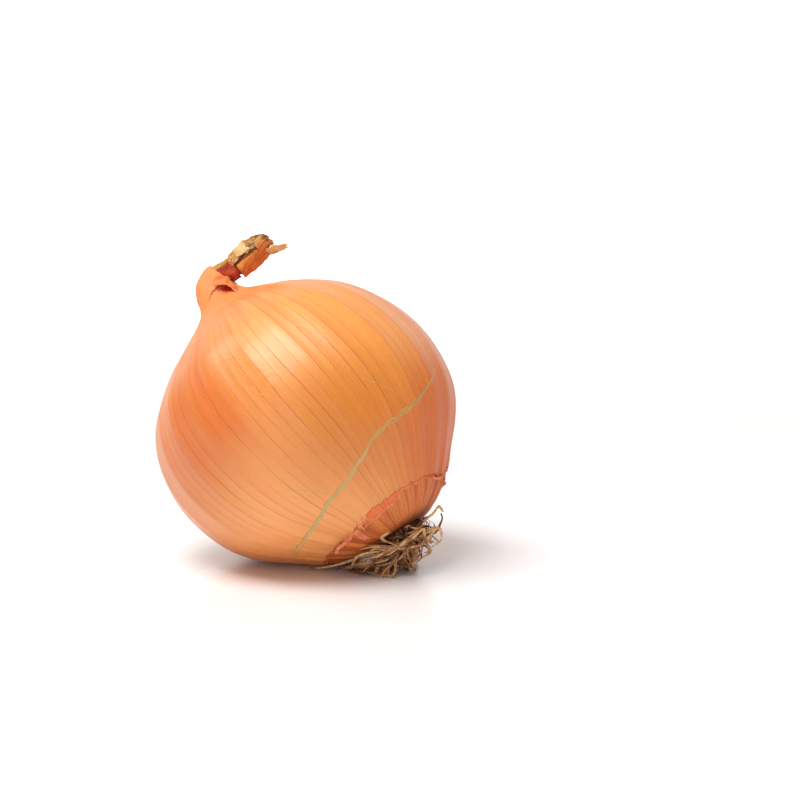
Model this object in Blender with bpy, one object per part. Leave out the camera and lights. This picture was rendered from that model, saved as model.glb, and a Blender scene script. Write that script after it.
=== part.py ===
# A yellow onion as picked and dried, lying tipped on a table
#
# The onion is worked out standing up, in its growing frame: +Z runs up the growth
# axis from the root plate to the neck, and +X is the side that the dried neck is
# folded over to. It is then tipped over to the way it lies, with the origin on the
# small flat spot that it rests on and +Z up.

from math import atan2, cos, exp, hypot, pi, radians, sin, sqrt
from random import Random

import bmesh
import bpy
import numpy as np
from mathutils import Matrix, Vector, noise

MM = 0.001

# Driving sizes of the bulb
BULB_RADIUS = 38.0 * MM
NECK_RADIUS = 5.4 * MM
SKIN_THICKNESS = 0.45 * MM
CLEARANCE = 0.3 * MM

# How it lies: tipped by this angle towards this compass heading, on a flat spot
# that is pressed this deep into its skin
TIP_ANGLE = radians(43)
TIP_HEADING = radians(151.4)
SPOT_DEPTH = 0.5 * MM

# The profile, as shares of the bulb's radius: how far out, and how high up
UNDER_SKIN_LINE = ((0.190, 0.012), (0.300, 0.042), (0.405, 0.097), (0.495, 0.165))
SKIN_LINE = (
    (0.495, 0.165), (0.620, 0.258), (0.822, 0.452), (0.945, 0.670), (1.000, 0.965),
    (0.955, 1.260), (0.815, 1.526), (0.600, 1.724), (0.405, 1.845), (0.270, 1.925),
    (0.188, 1.990), (0.152, 2.045),
)
HEM_RADIUS = SKIN_LINE[0][0] * BULB_RADIUS
HEM_HEIGHT = SKIN_LINE[0][1] * BULB_RADIUS
HEM_SLOPE = radians(40)

# The neck: its sleeve of skin folds through a right angle, and the dried stub of
# the leaves comes out of the sleeve's torn end
FOLD_START = 2.06 * BULB_RADIUS
FOLD_RADIUS = 3.4 * MM
FOLD_LENGTH = FOLD_RADIUS * pi / 2
FOLD_PINCH = 0.42
SLEEVE_END = FOLD_START + FOLD_LENGTH + 1.6 * MM
SLEEVE_WALL = 0.9 * MM
SOCKET_FLOOR = FOLD_START + 2.0 * MM
STUB_END = FOLD_START + FOLD_LENGTH + 15.8 * MM

# Relief of the skin
SEGMENTS = 72
RIBS = 24
RIB_HEIGHT = 0.26 * MM
PLEAT_HEIGHT = 0.55 * MM
LUMP_HEIGHT = 0.55 * MM
BOW = 2.1 * MM
HEM_RAGGEDNESS = 2.0 * MM
HEM_CURL = 0.6 * MM

# Root plate and roots
PLATE_RADIUS = 6.8 * MM
PLATE_DEPTH = 2.4 * MM
PLATE_SHIFT = -1.0 * MM
ROOTS = 52
ROOT_STEPS = 7
ROOT_RADIUS = 0.52 * MM
KNOBS = 18
SEED = 7

SKIN_ORANGE = (0.72, 0.27, 0.06, 1.0)
STUB_BROWN = (0.50, 0.24, 0.08, 1.0)
ROOT_TAN = (0.30, 0.19, 0.10, 1.0)


def smooth_line(stations, steps):
    """Points on a Catmull-Rom curve through the stations, so many steps to a span."""
    points = [Vector(station) for station in stations]
    points = [points[0] * 2 - points[1], *points, points[-1] * 2 - points[-2]]
    line = []
    for a, b, c, d in zip(points, points[1:], points[2:], points[3:]):
        for step in range(steps):
            t = step / steps
            line.append(
                0.5 * (2 * b + (c - a) * t + (2 * a - 5 * b + 4 * c - d) * t**2
                       + (3 * b - a - 3 * c + d) * t**3)
            )
    return [*line, points[-2]]


def clear_scene():
    for obj in list(bpy.data.objects):
        bpy.data.objects.remove(obj)


def material(name, colour, roughness):
    made = bpy.data.materials.new(name)
    made.use_nodes = True
    shader = made.node_tree.nodes["Principled BSDF"]
    shader.inputs["Base Color"].default_value = colour
    shader.inputs["Roughness"].default_value = roughness
    shader.inputs["Metallic"].default_value = 0.0
    return made


def finished(name, bm, look):
    """A scene object from the bmesh, closed, facing out and shaded smooth."""
    bmesh.ops.recalc_face_normals(bm, faces=bm.faces)
    if bm.calc_volume(signed=True) < 0:
        bmesh.ops.reverse_faces(bm, faces=bm.faces)
    mesh = bpy.data.meshes.new(name)
    bm.to_mesh(mesh)
    bm.free()
    mesh.shade_smooth()
    mesh.set_sharp_from_angle(angle=radians(50))
    mesh.materials.append(look)
    obj = bpy.data.objects.new(name, mesh)
    bpy.context.collection.objects.link(obj)
    return obj


def spun(profile, segments, tags=()):
    """A bmesh of the profile of (radius, height) points turned about the Z axis. The
    points whose numbers are in tags keep 1.0 in the vertex layer 'hem'."""
    bm = bmesh.new()
    hem = bm.verts.layers.float.new("hem")
    verts = [bm.verts.new((radius, 0, height)) for radius, height in profile]
    for number in tags:
        verts[number][hem] = 1.0
    edges = [bm.edges.new(pair) for pair in zip(verts, verts[1:])]
    bmesh.ops.spin(
        bm, geom=[*verts, *edges], cent=(0, 0, 0), axis=(0, 0, 1), dvec=(0, 0, 0),
        angle=2 * pi, steps=segments, use_merge=True,
    )
    bmesh.ops.remove_doubles(bm, verts=bm.verts, dist=1e-7)
    return bm


def ease(value, start, end):
    """A smooth change from 0 at the start to 1 at the end."""
    t = min(max((value - start) / (end - start), 0), 1)
    return t * t * (3 - 2 * t)


def ridged(angle, count):
    """0 to 1, with so many narrow ridges round the axis."""
    return (0.5 + 0.5 * cos(count * angle)) ** 2


def ring_noise(angle, pitch, place):
    """Smooth noise that closes on itself round the axis. Pitch is its wave count."""
    return noise.noise(Vector((cos(angle) * pitch, sin(angle) * pitch, place)))


def fold_over(point):
    """Carries a point of the straight neck round the fold and along the stub."""
    beyond = point.z - FOLD_START
    if beyond <= 0:
        return point
    turn = min(beyond / FOLD_RADIUS, pi / 2)
    straight = max(beyond - FOLD_LENGTH, 0)
    across = point.x
    if across > 0:
        across *= 1 - FOLD_PINCH * sin(turn) * exp(-straight / (2 * MM))
    return Vector((
        FOLD_RADIUS * (1 - cos(turn)) + straight + across * cos(turn),
        point.y,
        FOLD_START + FOLD_RADIUS * sin(turn) - across * sin(turn),
    ))


def lay_down(bm):
    """Tips the standing bulb over and cuts it flat where it rests. Returns the matrix
    that carries the growing frame to the way the onion lies."""
    tip = Matrix.Rotation(TIP_ANGLE, 4, Vector((-sin(TIP_HEADING), cos(TIP_HEADING), 0)))
    bm.transform(tip)
    floor = min(vert.co.z for vert in bm.verts) + SPOT_DEPTH
    cut = bmesh.ops.bisect_plane(
        bm, geom=[*bm.verts, *bm.edges, *bm.faces], dist=1e-6,
        plane_co=(0, 0, floor), plane_no=(0, 0, 1), clear_inner=True,
    )
    rim = [item for item in cut["geom_cut"] if isinstance(item, bmesh.types.BMEdge)]
    spot = bmesh.ops.contextual_create(bm, geom=rim)["faces"][0]
    shift = Matrix.Translation(-spot.calc_center_bounds())
    bm.transform(shift)
    return shift @ tip


def shape_skin(vert, hem):
    """Moves one vertex of the plain spun bulb to its place on the real skin."""
    x, y, height = vert.co
    out = hypot(x, y)
    if out < 1e-6:
        vert.co = fold_over(vert.co)
        return
    angle = atan2(y, x)

    # Ribs on the skin, deeper pleats below its torn hem, and broad lumps
    above_hem = ease(height, HEM_HEIGHT - 0.5 * MM, HEM_HEIGHT + 6 * MM)
    relief = PLEAT_HEIGHT + (RIB_HEIGHT - PLEAT_HEIGHT) * above_hem
    relief *= ease(out, 2 * MM, 8 * MM)
    lump = LUMP_HEIGHT * noise.noise(Vector((x, y, height)) / (22 * MM))
    lump *= ease(out, 8 * MM, 20 * MM)
    out += relief * ridged(angle, RIBS) + lump

    # The hem wanders along the skin, and its edge curls up in places, though not
    # where the weight of the bulb presses it to the table
    near_hem = max(1 - abs(height - HEM_HEIGHT) / (5 * MM), 0)
    pressed = ease(cos(angle - TIP_HEADING), 0.75, 0.2)
    wander = HEM_RAGGEDNESS * ring_noise(angle, 2.6, 4.0) * near_hem * pressed
    curl = HEM_CURL * max(ring_noise(angle, 3.4, 9.0), 0) * 2 * hem * pressed
    out += wander * cos(HEM_SLOPE) + curl * sin(HEM_SLOPE)
    height += wander * sin(HEM_SLOPE) - curl * cos(HEM_SLOPE)

    # The sleeve's end is torn further back on the outside of the fold
    torn = ease(height, SOCKET_FLOOR, SLEEVE_END)
    height += torn * MM * (1.5 * cos(angle) - 1.0 + 2.2 * ring_noise(angle, 2.2, 1.0))
    bow = BOW * ease(height, 0, 54 * MM) * ease(height, 78 * MM, 56 * MM)
    vert.co = fold_over(Vector((out * cos(angle) - bow, out * sin(angle), height)))


def bulb_profile():
    """The bulb's profile from the middle of its base to the socket in its neck, and
    the number of the point at the skin's hem."""
    scale = BULB_RADIUS
    under = [point * scale for point in smooth_line(UNDER_SKIN_LINE, 2)]
    skin = [point * scale for point in smooth_line(SKIN_LINE, 3)]
    step = Vector((sin(HEM_SLOPE), -cos(HEM_SLOPE))) * SKIN_THICKNESS
    base = Vector((0, under[0].y))
    lip = skin[0] + step
    lower_skin = [point + step * (1 - n / 3) for n, point in enumerate(skin[1:4], 1)]
    sleeve_outside = [
        Vector((NECK_RADIUS * share, FOLD_START + (SLEEVE_END - FOLD_START) * along))
        for share, along in ((0.94, 0.2), (0.90, 0.4), (0.86, 0.6), (0.84, 0.8), (0.82, 1.0))
    ]
    inside = NECK_RADIUS * 0.82 - SLEEVE_WALL
    sleeve_inside = [
        Vector((inside, SLEEVE_END - (SLEEVE_END - SOCKET_FLOOR) * along))
        for along in (0.0, 0.33, 0.67, 1.0)
    ]
    floor = Vector((0, SOCKET_FLOOR))
    profile = [base, *under, lip, *lower_skin, *skin[4:], *sleeve_outside]
    return [*profile, *sleeve_inside, floor], 1 + len(under)


def make_bulb(look):
    """The bulb in its papery skin, with the neck's sleeve. Returns how it lies."""
    profile, hem_point = bulb_profile()
    bm = spun(profile, SEGMENTS, tags=[hem_point])
    hem = bm.verts.layers.float["hem"]
    for vert in bm.verts:
        shape_skin(vert, vert[hem])
    place = lay_down(bm)
    finished("bulb", bm, look)
    return place


def shape_stub(vert):
    """Creases the dried stub, tears its end and carries it round the fold."""
    x, y, height = vert.co
    out = hypot(x, y)
    angle = atan2(y, x)
    twist = angle + (height - FOLD_START) / (14 * MM)
    beyond = ease(height, SLEEVE_END, SLEEVE_END + 2 * MM)
    out *= 1 + beyond * (0.16 * cos(2 * twist) + 0.10 * cos(5 * twist + 1))
    out += beyond * 0.5 * MM * noise.noise(Vector((x, y, height)) / (2.5 * MM))
    end = ease(height, STUB_END - 5 * MM, STUB_END)
    height += end * 3.0 * MM * ring_noise(angle, 2.0, 3.0)
    vert.co = fold_over(Vector((out * cos(angle), out * sin(angle), height)))


def flake(length, width, curl):
    """A scrap of dried leaf along +X: a thin blade, tapered and curled downwards."""
    thickness = 0.6 * MM
    bm = bmesh.new()
    bmesh.ops.create_grid(bm, x_segments=4, y_segments=2, size=0.5)
    for vert in bm.verts:
        along = vert.co.x + 0.5
        side = vert.co.y * width * (1 - 0.75 * along**2)
        vert.co = Vector((along * length, side, -curl * along**2 - 0.8 * side * side / width))
    bmesh.ops.solidify(bm, geom=bm.faces, thickness=thickness)
    return bm


def joined(name, core, pieces, look):
    """One closed body from the core and the pieces that are rooted in it."""
    group = bpy.data.collections.new(name + " pieces")
    bpy.context.scene.collection.children.link(group)
    for piece in pieces:
        bpy.context.collection.objects.unlink(piece)
        group.objects.link(piece)
    union = core.modifiers.new("join", "BOOLEAN")
    union.operation = "UNION"
    union.operand_type = "COLLECTION"
    union.collection = group
    union.solver = "MANIFOLD"
    graph = bpy.context.evaluated_depsgraph_get()
    mesh = bpy.data.meshes.new_from_object(core.evaluated_get(graph))
    core.modifiers.clear()
    core.data = mesh
    mesh.name = name
    mesh.materials.clear()
    mesh.materials.append(look)
    for piece in pieces:
        bpy.data.objects.remove(piece)
    bpy.data.collections.remove(group)
    return core


def make_stub(look, place):
    """The dried stub of the leaves, with the scraps that stand off it."""
    start = SOCKET_FLOOR + CLEARANCE
    inside = NECK_RADIUS * 0.82 - SLEEVE_WALL - CLEARANCE
    out_of_sleeve = SLEEVE_END + 0.5 * MM
    stations = (
        (inside, start), (inside, SLEEVE_END - 2 * MM), (2.9 * MM, out_of_sleeve),
        (2.6 * MM, out_of_sleeve + 2.0 * MM), (3.5 * MM, out_of_sleeve + 3.6 * MM),
        (3.6 * MM, out_of_sleeve + 8 * MM), (3.2 * MM, STUB_END - 4 * MM),
        (2.5 * MM, STUB_END - 1.5 * MM), (1.5 * MM, STUB_END),
    )
    profile = [Vector((0, start)), *smooth_line(stations, 2), Vector((0, STUB_END - 1 * MM))]
    bm = spun(profile, 28)
    for vert in bm.verts:
        shape_stub(vert)
    core = finished("neck_stub", bm, look)
    core.data.transform(place)

    # Each scrap: how far along the stub, which way round it, its slant, then its size
    axis_height = FOLD_START + FOLD_RADIUS
    scraps = (
        (14.5, 150, -38, 7.0, 3.6, 1.0), (11.0, 80, -9, 6.5, 4.5, 0.8),
        (8.5, 20, -16, 5.0, 3.5, 0.6), (13.0, 20, -8, 5.0, 4.0, 1.0),
        (13.5, -60, -12, 5.5, 4.0, 1.2), (6.5, -70, -18, 4.5, 3.0, 0.6),
    )
    pieces = []
    for number, (along, round_angle, slant, length, width, curl) in enumerate(scraps):
        blade = flake(length * MM, width * MM, curl * MM)
        blade.transform(
            place
            @ Matrix.Translation((along * MM, 0, axis_height))
            @ Matrix.Rotation(radians(round_angle), 4, "X")
            @ Matrix.Translation((0, 0, 2.3 * MM))
            @ Matrix.Rotation(radians(slant), 4, "Y")
        )
        pieces.append(finished(f"scrap {number}", blade, look))
    return joined("neck_stub", core, pieces, look)


def base_height(out):
    """How high up the bulb's lower surface is, this far out from its growth axis."""
    line = [*UNDER_SKIN_LINE, *SKIN_LINE[1:5]]
    outs, heights = zip(*line)
    return float(np.interp(out / BULB_RADIUS, outs, heights)) * BULB_RADIUS


def kept_free(point, radius, place):
    """A place near the point that is clear of the bulb and above the floor."""
    grown = place.inverted() @ point
    margin = radius + 1.0 * MM + 2.2 * MM * ease(hypot(grown.x, grown.y), 12 * MM, 20 * MM)
    grown.z = min(grown.z, base_height(hypot(grown.x, grown.y)) - margin)
    point = place @ grown
    point.z = max(point.z, radius)
    return point


def root_line(number, draw, place):
    """The points of one dried root, from inside the plate to its tip, and its radius."""
    golden_angle = pi * (3 - sqrt(5))
    share = sqrt((number + 0.5) / ROOTS)
    angle = number * golden_angle
    radial = Vector((cos(angle), sin(angle), 0))
    start = Vector((PLATE_SHIFT, 0, -0.9 * MM)) + radial * share * (PLATE_RADIUS - 1.1 * MM)
    heading = Vector((0, 0, -1)) * (1.2 - 0.7 * share) + radial * share * 0.9
    point = place @ start
    heading = place.to_3x3() @ heading.normalized()
    sweep = Vector((-0.8, 0.9, -0.3))
    length = draw.uniform(9, 16) * MM * (1 - 0.3 * share * cos(angle))
    radius = ROOT_RADIUS * draw.uniform(0.75, 1.25)
    points = [point]
    for step in range(ROOT_STEPS):
        wobble = Vector([draw.uniform(-1, 1) for _ in range(3)])
        heading = (heading + 0.48 * wobble + 0.6 * step / ROOT_STEPS * sweep).normalized()
        point = point + heading * length / ROOT_STEPS
        if step > 0:
            point = kept_free(point, radius * 1.15, place)
        points.append(point)
    return points, radius


def root_piece(number, draw, place, look):
    """One dried root as a closed tube that thins to its tip."""
    points, radius = root_line(number, draw, place)
    curve = bpy.data.curves.new(f"root {number}", "CURVE")
    curve.dimensions = "3D"
    curve.bevel_depth = radius
    curve.bevel_resolution = 1
    curve.use_fill_caps = True
    line = curve.splines.new("POLY")
    line.points.add(len(points) - 1)
    for step, (spot, point) in enumerate(zip(line.points, points)):
        spot.co = (*point, 1)
        spot.radius = 1.1 - 0.5 * step / ROOT_STEPS
    tube = bpy.data.objects.new(curve.name, curve)
    bpy.context.collection.objects.link(tube)
    bpy.context.view_layer.update()
    graph = bpy.context.evaluated_depsgraph_get()
    bm = bmesh.new()
    bm.from_mesh(bpy.data.meshes.new_from_object(tube.evaluated_get(graph)))
    bpy.data.objects.remove(tube)
    bmesh.ops.remove_doubles(bm, verts=bm.verts, dist=1e-6)
    return finished(curve.name, bm, look)


def make_roots(look, place):
    """The root plate, the knobs of broken roots round it and the dried roots."""
    draw = Random(SEED)
    bm = bmesh.new()
    bmesh.ops.create_cone(
        bm, cap_ends=True, segments=32, radius1=PLATE_RADIUS - 0.9 * MM,
        radius2=PLATE_RADIUS, depth=PLATE_DEPTH,
    )
    top = UNDER_SKIN_LINE[0][1] * BULB_RADIUS - CLEARANCE
    bm.transform(place @ Matrix.Translation((PLATE_SHIFT, 0, top - PLATE_DEPTH / 2)))
    plate = finished("root_tuft", bm, look)
    pieces = []
    for number in range(KNOBS):
        angle = 2 * pi * number / KNOBS + draw.uniform(-0.1, 0.1)
        out = PLATE_RADIUS - draw.uniform(0.6, 1.6) * MM
        knob = bmesh.new()
        bmesh.ops.create_icosphere(knob, subdivisions=1, radius=draw.uniform(0.8, 1.1) * MM)
        spot = Vector((PLATE_SHIFT + out * cos(angle), out * sin(angle), top - PLATE_DEPTH))
        knob.transform(place @ Matrix.Translation(spot))
        pieces.append(finished(f"knob {number}", knob, look))
    pieces += [root_piece(number, draw, place, look) for number in range(ROOTS)]
    return joined("root_tuft", plate, pieces, look)


def main():
    clear_scene()
    place = make_bulb(material("papery skin", SKIN_ORANGE, 0.42))
    make_stub(material("dried leaf", STUB_BROWN, 0.75), place)
    make_roots(material("dried root", ROOT_TAN, 0.85), place)


main()
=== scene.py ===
# %% [markdown]
# # A yellow onion, dressed for its portrait
#
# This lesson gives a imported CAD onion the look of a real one. The CAD model already
# holds the sizes: a bulb, the dried stub of its neck and its tuft of roots. Here each
# of them is modelled again finely, in the same place, and given its materials. Then
# come the table, the light and the camera.

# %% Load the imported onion
from math import atan2, cos, exp, hypot, pi, radians, sin, sqrt
from random import Random

import bmesh
import bpy
import numpy as np
from mathutils import Matrix, Vector, noise


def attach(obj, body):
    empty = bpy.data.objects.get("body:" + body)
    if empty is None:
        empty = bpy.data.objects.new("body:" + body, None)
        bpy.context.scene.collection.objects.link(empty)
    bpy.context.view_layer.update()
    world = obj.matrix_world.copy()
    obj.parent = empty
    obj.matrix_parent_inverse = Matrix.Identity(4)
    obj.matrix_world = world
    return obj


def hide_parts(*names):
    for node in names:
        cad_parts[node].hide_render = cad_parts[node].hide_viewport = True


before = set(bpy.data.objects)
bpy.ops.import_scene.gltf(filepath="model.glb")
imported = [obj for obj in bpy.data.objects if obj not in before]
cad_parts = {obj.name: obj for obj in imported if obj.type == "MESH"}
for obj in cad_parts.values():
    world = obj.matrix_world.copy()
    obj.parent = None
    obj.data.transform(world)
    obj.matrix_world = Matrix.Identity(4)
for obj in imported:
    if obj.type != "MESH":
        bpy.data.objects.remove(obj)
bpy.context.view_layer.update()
MM = 0.001
print("CAD nodes:", sorted(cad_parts))

# %% [markdown]
# ## Where everything is
#
# An onion is easiest to think of standing up, in its growing frame: +Z runs up the
# growth axis from the root plate to the neck, and +X is the side that the dry neck is
# folded over to. One matrix tips that frame over to the way the onion lies on the
# table. The sizes are the CAD model's own.

# %% The growing frame and the sizes
BULB_RADIUS = 38.0 * MM
NECK_RADIUS = 5.4 * MM
TIP_ANGLE = radians(43)
TIP_HEADING = radians(151.4)
AXIS_FOOT = Vector((23.53, -14.02, 8.92)) * MM

axle = Vector((-sin(TIP_HEADING), cos(TIP_HEADING), 0))
PLACE = Matrix.Translation(AXIS_FOOT) @ Matrix.Rotation(TIP_ANGLE, 4, axle)

FOLD_START = 2.06 * BULB_RADIUS
FOLD_RADIUS = 3.4 * MM
FOLD_LENGTH = FOLD_RADIUS * pi / 2
FOLD_PINCH = 0.42
SLEEVE_END = FOLD_START + FOLD_LENGTH + 1.6 * MM
SOCKET_FLOOR = FOLD_START + 2.0 * MM
STUB_END = FOLD_START + FOLD_LENGTH + 15.8 * MM
print(f"the bulb is {2 * BULB_RADIUS / MM:.0f} mm across, tipped over by {TIP_ANGLE / pi * 180:.0f} degrees")


def ease(value, start, end):
    """A smooth change from 0 at the start to 1 at the end."""
    t = min(max((value - start) / (end - start), 0), 1)
    return t * t * (3 - 2 * t)


def ring_noise(angle, pitch, place):
    """Smooth noise that closes on itself round the axis. Pitch is its wave count."""
    return noise.noise(Vector((cos(angle) * pitch, sin(angle) * pitch, place)))


def fold_over(point):
    """Carries a point of the straight neck round the fold and along the stub."""
    beyond = point.z - FOLD_START
    if beyond <= 0:
        return point
    turn = min(beyond / FOLD_RADIUS, pi / 2)
    straight = max(beyond - FOLD_LENGTH, 0)
    across = point.x
    if across > 0:
        across *= 1 - FOLD_PINCH * sin(turn) * exp(-straight / (2 * MM))
    return Vector((
        FOLD_RADIUS * (1 - cos(turn)) + straight + across * cos(turn),
        point.y,
        FOLD_START + FOLD_RADIUS * sin(turn) - across * sin(turn),
    ))


# %% [markdown]
# ## The outline of the bulb
#
# A smooth curve through a few stations gives the outline, from the rim of the root
# plate to the torn end of the sleeve round the neck. Points on the skin are then
# named by two numbers, as on a map: the turn round the axis, and the way along the
# skin, in metres up from the hem where the outer skin is torn off near the roots.
# With a third number, the lift off the surface, every scrap of skin finds its place.

# %% Skin coordinates
STATIONS = (
    (0.100, 0.010), (0.190, 0.012), (0.300, 0.042), (0.405, 0.097), (0.495, 0.165),
    (0.620, 0.258), (0.822, 0.452), (0.945, 0.670), (1.000, 0.965), (0.955, 1.260),
    (0.815, 1.526), (0.600, 1.724), (0.405, 1.845), (0.270, 1.925), (0.188, 1.990),
    (0.152, 2.045),
)
HEM_STATION = 4


def smooth_line(stations, steps):
    """Points on a Catmull-Rom curve through the stations, so many steps to a span."""
    points = [Vector(station) for station in stations]
    points = [points[0] * 2 - points[1], *points, points[-1] * 2 - points[-2]]
    line = []
    for a, b, c, d in zip(points, points[1:], points[2:], points[3:]):
        for step in range(steps):
            t = step / steps
            line.append(
                0.5 * (2 * b + (c - a) * t + (2 * a - 5 * b + 4 * c - d) * t**2
                       + (3 * b - a - 3 * c + d) * t**3)
            )
    return [*line, points[-2]]


LINE_STEPS = 12
outline = [point * BULB_RADIUS for point in smooth_line(STATIONS, LINE_STEPS)]
outline += [
    Vector((NECK_RADIUS * share, FOLD_START + (SLEEVE_END - FOLD_START) * along))
    for share, along in ((0.94, 0.2), (0.90, 0.4), (0.86, 0.6), (0.84, 0.8), (0.82, 1.0))
]
line_out = np.array([point.x for point in outline])
line_up = np.array([point.y for point in outline])
line_way = np.concatenate([[0], np.cumsum(np.hypot(np.diff(line_out), np.diff(line_up)))])
line_way -= line_way[HEM_STATION * LINE_STEPS]
slope_out = np.gradient(line_out, line_way)
slope_up = np.gradient(line_up, line_way)
FOOT_WAY, NECK_WAY = float(line_way[0]), float(line_way[-1])


def way_at_height(height):
    """How far along the skin a height above the root plate is."""
    return float(np.interp(height, line_up, line_way))


RIBS = 24
RIB_HEIGHT = 0.26 * MM
PLEAT_HEIGHT = 0.55 * MM
LUMP_HEIGHT = 0.55 * MM
BOW = 2.1 * MM
PUCKER_HEIGHT = 0.22 * MM
LUMP_SPAN = 22 * MM
HEM_HEIGHT = 0.165 * BULB_RADIUS


def on_skin(way, angle, lift=0.0):
    """The place in the growing frame of a point of the skin."""
    out = float(np.interp(way, line_way, line_out))
    height = float(np.interp(way, line_way, line_up))
    out += lift * float(np.interp(way, line_way, slope_up))
    height -= lift * float(np.interp(way, line_way, slope_out))
    above_hem = ease(height, HEM_HEIGHT - 0.5 * MM, HEM_HEIGHT + 6 * MM)
    relief = PLEAT_HEIGHT + (RIB_HEIGHT - PLEAT_HEIGHT) * above_hem
    relief *= ease(out, 5 * MM, 14 * MM)
    lump = LUMP_HEIGHT * noise.noise(
        Vector((out * cos(angle), out * sin(angle), height)) / LUMP_SPAN
    )
    lump *= ease(out, 8 * MM, 20 * MM)
    out += relief * (0.5 + 0.5 * cos(RIBS * angle)) ** 2 + lump
    out += PUCKER_HEIGHT * (1 - above_hem) * ring_noise(angle, 26, 2.0) * ease(out, 6 * MM, 12 * MM)
    torn = ease(height, SOCKET_FLOOR, SLEEVE_END)
    tear = 1.8 * ring_noise(angle, 2.2, 1.0) + 0.5 * ring_noise(angle, 9, 16.0)
    height += torn * MM * (1.5 * cos(angle) - 1.0 + tear)
    bow = BOW * ease(height, 0, 54 * MM) * ease(height, 78 * MM, 56 * MM)
    return fold_over(Vector((out * cos(angle) - bow, out * sin(angle), height)))


print(f"the skin runs {1000 * (NECK_WAY - FOOT_WAY):.0f} mm from root plate to torn sleeve")

# %% [markdown]
# ## A spun mesh with a memory
#
# The bulb starts as an outline spun round its axis. Each point of the outline carries
# its way and its lift in two vertex layers, and the spin copies them round. So after
# the spin every vertex knows where it is on the skin, and can be sent to its final
# place, and every face corner can be given its skin coordinates as a UV map. The
# materials draw the veins in that map.

# %% Helpers for spun and mapped meshes
TURN = 2 * pi
ON_AXIS = 1e-4


def spun(rings, segments, band=False):
    """Rings of (way, lift) turned about Z. The ends close in poles, or meet in a band."""
    bm = bmesh.new()
    ways = bm.verts.layers.float.new("way")
    lifts = bm.verts.layers.float.new("lift")
    verts = []
    for number, (way, lift) in enumerate(rings):
        vert = bm.verts.new((1.0, 0, number))
        vert[ways] = way
        vert[lifts] = lift
        verts.append(vert)
    edges = [bm.edges.new(pair) for pair in zip(verts, verts[1:])]
    if band:
        edges.append(bm.edges.new((verts[-1], verts[0])))
    else:
        verts[0].co.x = verts[-1].co.x = 0
    bmesh.ops.spin(
        bm, geom=[*verts, *edges], cent=(0, 0, 0), axis=(0, 0, 1), dvec=(0, 0, 0),
        angle=TURN, steps=segments, use_merge=True,
    )
    bmesh.ops.remove_doubles(bm, verts=bm.verts, dist=1e-6)
    bmesh.ops.recalc_face_normals(bm, faces=bm.faces)
    return bm


def map_skin(bm, angles):
    """Gives each face corner its turn, from 0 to 1, and its way, in metres, as a UV."""
    ways = bm.verts.layers.float["way"]
    layer = bm.loops.layers.uv.new("skin")
    for face in bm.faces:
        known = [angles[loop.vert.index] for loop in face.loops]
        base = next(angle for angle in known if angle is not None)
        for loop, angle in zip(face.loops, known):
            angle = base if angle is None else angle
            turns = angle / TURN - round((angle - base) / TURN)
            loop[layer].uv = (turns, loop.vert[ways])


def turn_of(vert):
    """The turn of a spun vertex round Z, or None for one on the axis."""
    out = hypot(vert.co.x, vert.co.y)
    return atan2(vert.co.y, vert.co.x) if out > ON_AXIS else None


def in_scene(name, data):
    """A new object in the scene, from a mesh, a curve, a light or a camera."""
    thing = bpy.data.objects.new(name, data)
    bpy.context.scene.collection.objects.link(thing)
    return thing


def to_object(name, bm, *materials):
    """A piece of the onion from the bmesh, in its final place, riding on the root. What
    would dip below the table is pressed flat on it."""
    for vert in bm.verts:
        vert.co.z = max(vert.co.z, 0.0)
    mesh = bpy.data.meshes.new(name)
    bm.to_mesh(mesh)
    bm.free()
    mesh.shade_smooth()
    for look in materials:
        mesh.materials.append(look)
    piece = in_scene(name, mesh)
    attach(piece, "root")
    print(f"{name}: {len(mesh.polygons)} faces")
    return piece


print("helpers for meshes: spun, map_skin, turn_of, in_scene, to_object")

# %% [markdown]
# ## Nodes in few words
#
# Shader graphs are long to write out. Small helpers add a node with its settings and
# its inputs in one call, and a chain of such calls reads like a formula.

# %% Shader helpers


def add(tree, kind, settings=None, **inputs):
    """A node of the kind, with settings as attributes and inputs as values or links."""
    made = tree.nodes.new(kind)
    for name, value in (settings or {}).items():
        setattr(made, name, value)
    for name, value in inputs.items():
        key = int(name[1:]) if name[0] == "_" else name.replace("_", " ")
        if isinstance(value, bpy.types.NodeSocket):
            tree.links.new(value, made.inputs[key])
        else:
            made.inputs[key].default_value = value
    return made


def maths(tree, operation, *values):
    """One step of arithmetic."""
    inputs = {f"_{place}": value for place, value in enumerate(values)}
    return add(tree, "ShaderNodeMath", {"operation": operation}, **inputs).outputs[0]


def times(tree, first, second):
    """Two values multiplied."""
    return maths(tree, "MULTIPLY", first, second)


def plus(tree, first, second):
    """Two values added."""
    return maths(tree, "ADD", first, second)


def off_half(tree, value):
    """A value about 0.5, moved to be about 0."""
    return maths(tree, "SUBTRACT", value, 0.5)


def dim_as_light(tree, value):
    """A strength that is 1 as the camera sees it, and the value as a light."""
    seen = tree.nodes.new("ShaderNodeLightPath").outputs["Is Camera Ray"]
    return add(tree, "ShaderNodeMapRange", None, Value=seen, To_Min=value, To_Max=1.0).outputs["Result"]


def between(tree, value, low, high):
    """A smooth mask: 0 where the value is low, 1 where it is high."""
    settings = {"interpolation_type": "SMOOTHSTEP"}
    made = add(tree, "ShaderNodeMapRange", settings, Value=value, From_Min=low, From_Max=high)
    return made.outputs["Result"]


def blend(tree, mask, first, second):
    """Two colours mixed by a mask."""
    settings = {"data_type": "RGBA"}
    return add(tree, "ShaderNodeMix", settings, _0=mask, _6=first, _7=second).outputs[2]


def tint(tree, base, tone, mask, strength):
    """The base colour with a tone laid over it where the mask is, at this strength."""
    return blend(tree, times(tree, mask, strength), base, tone)


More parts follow.
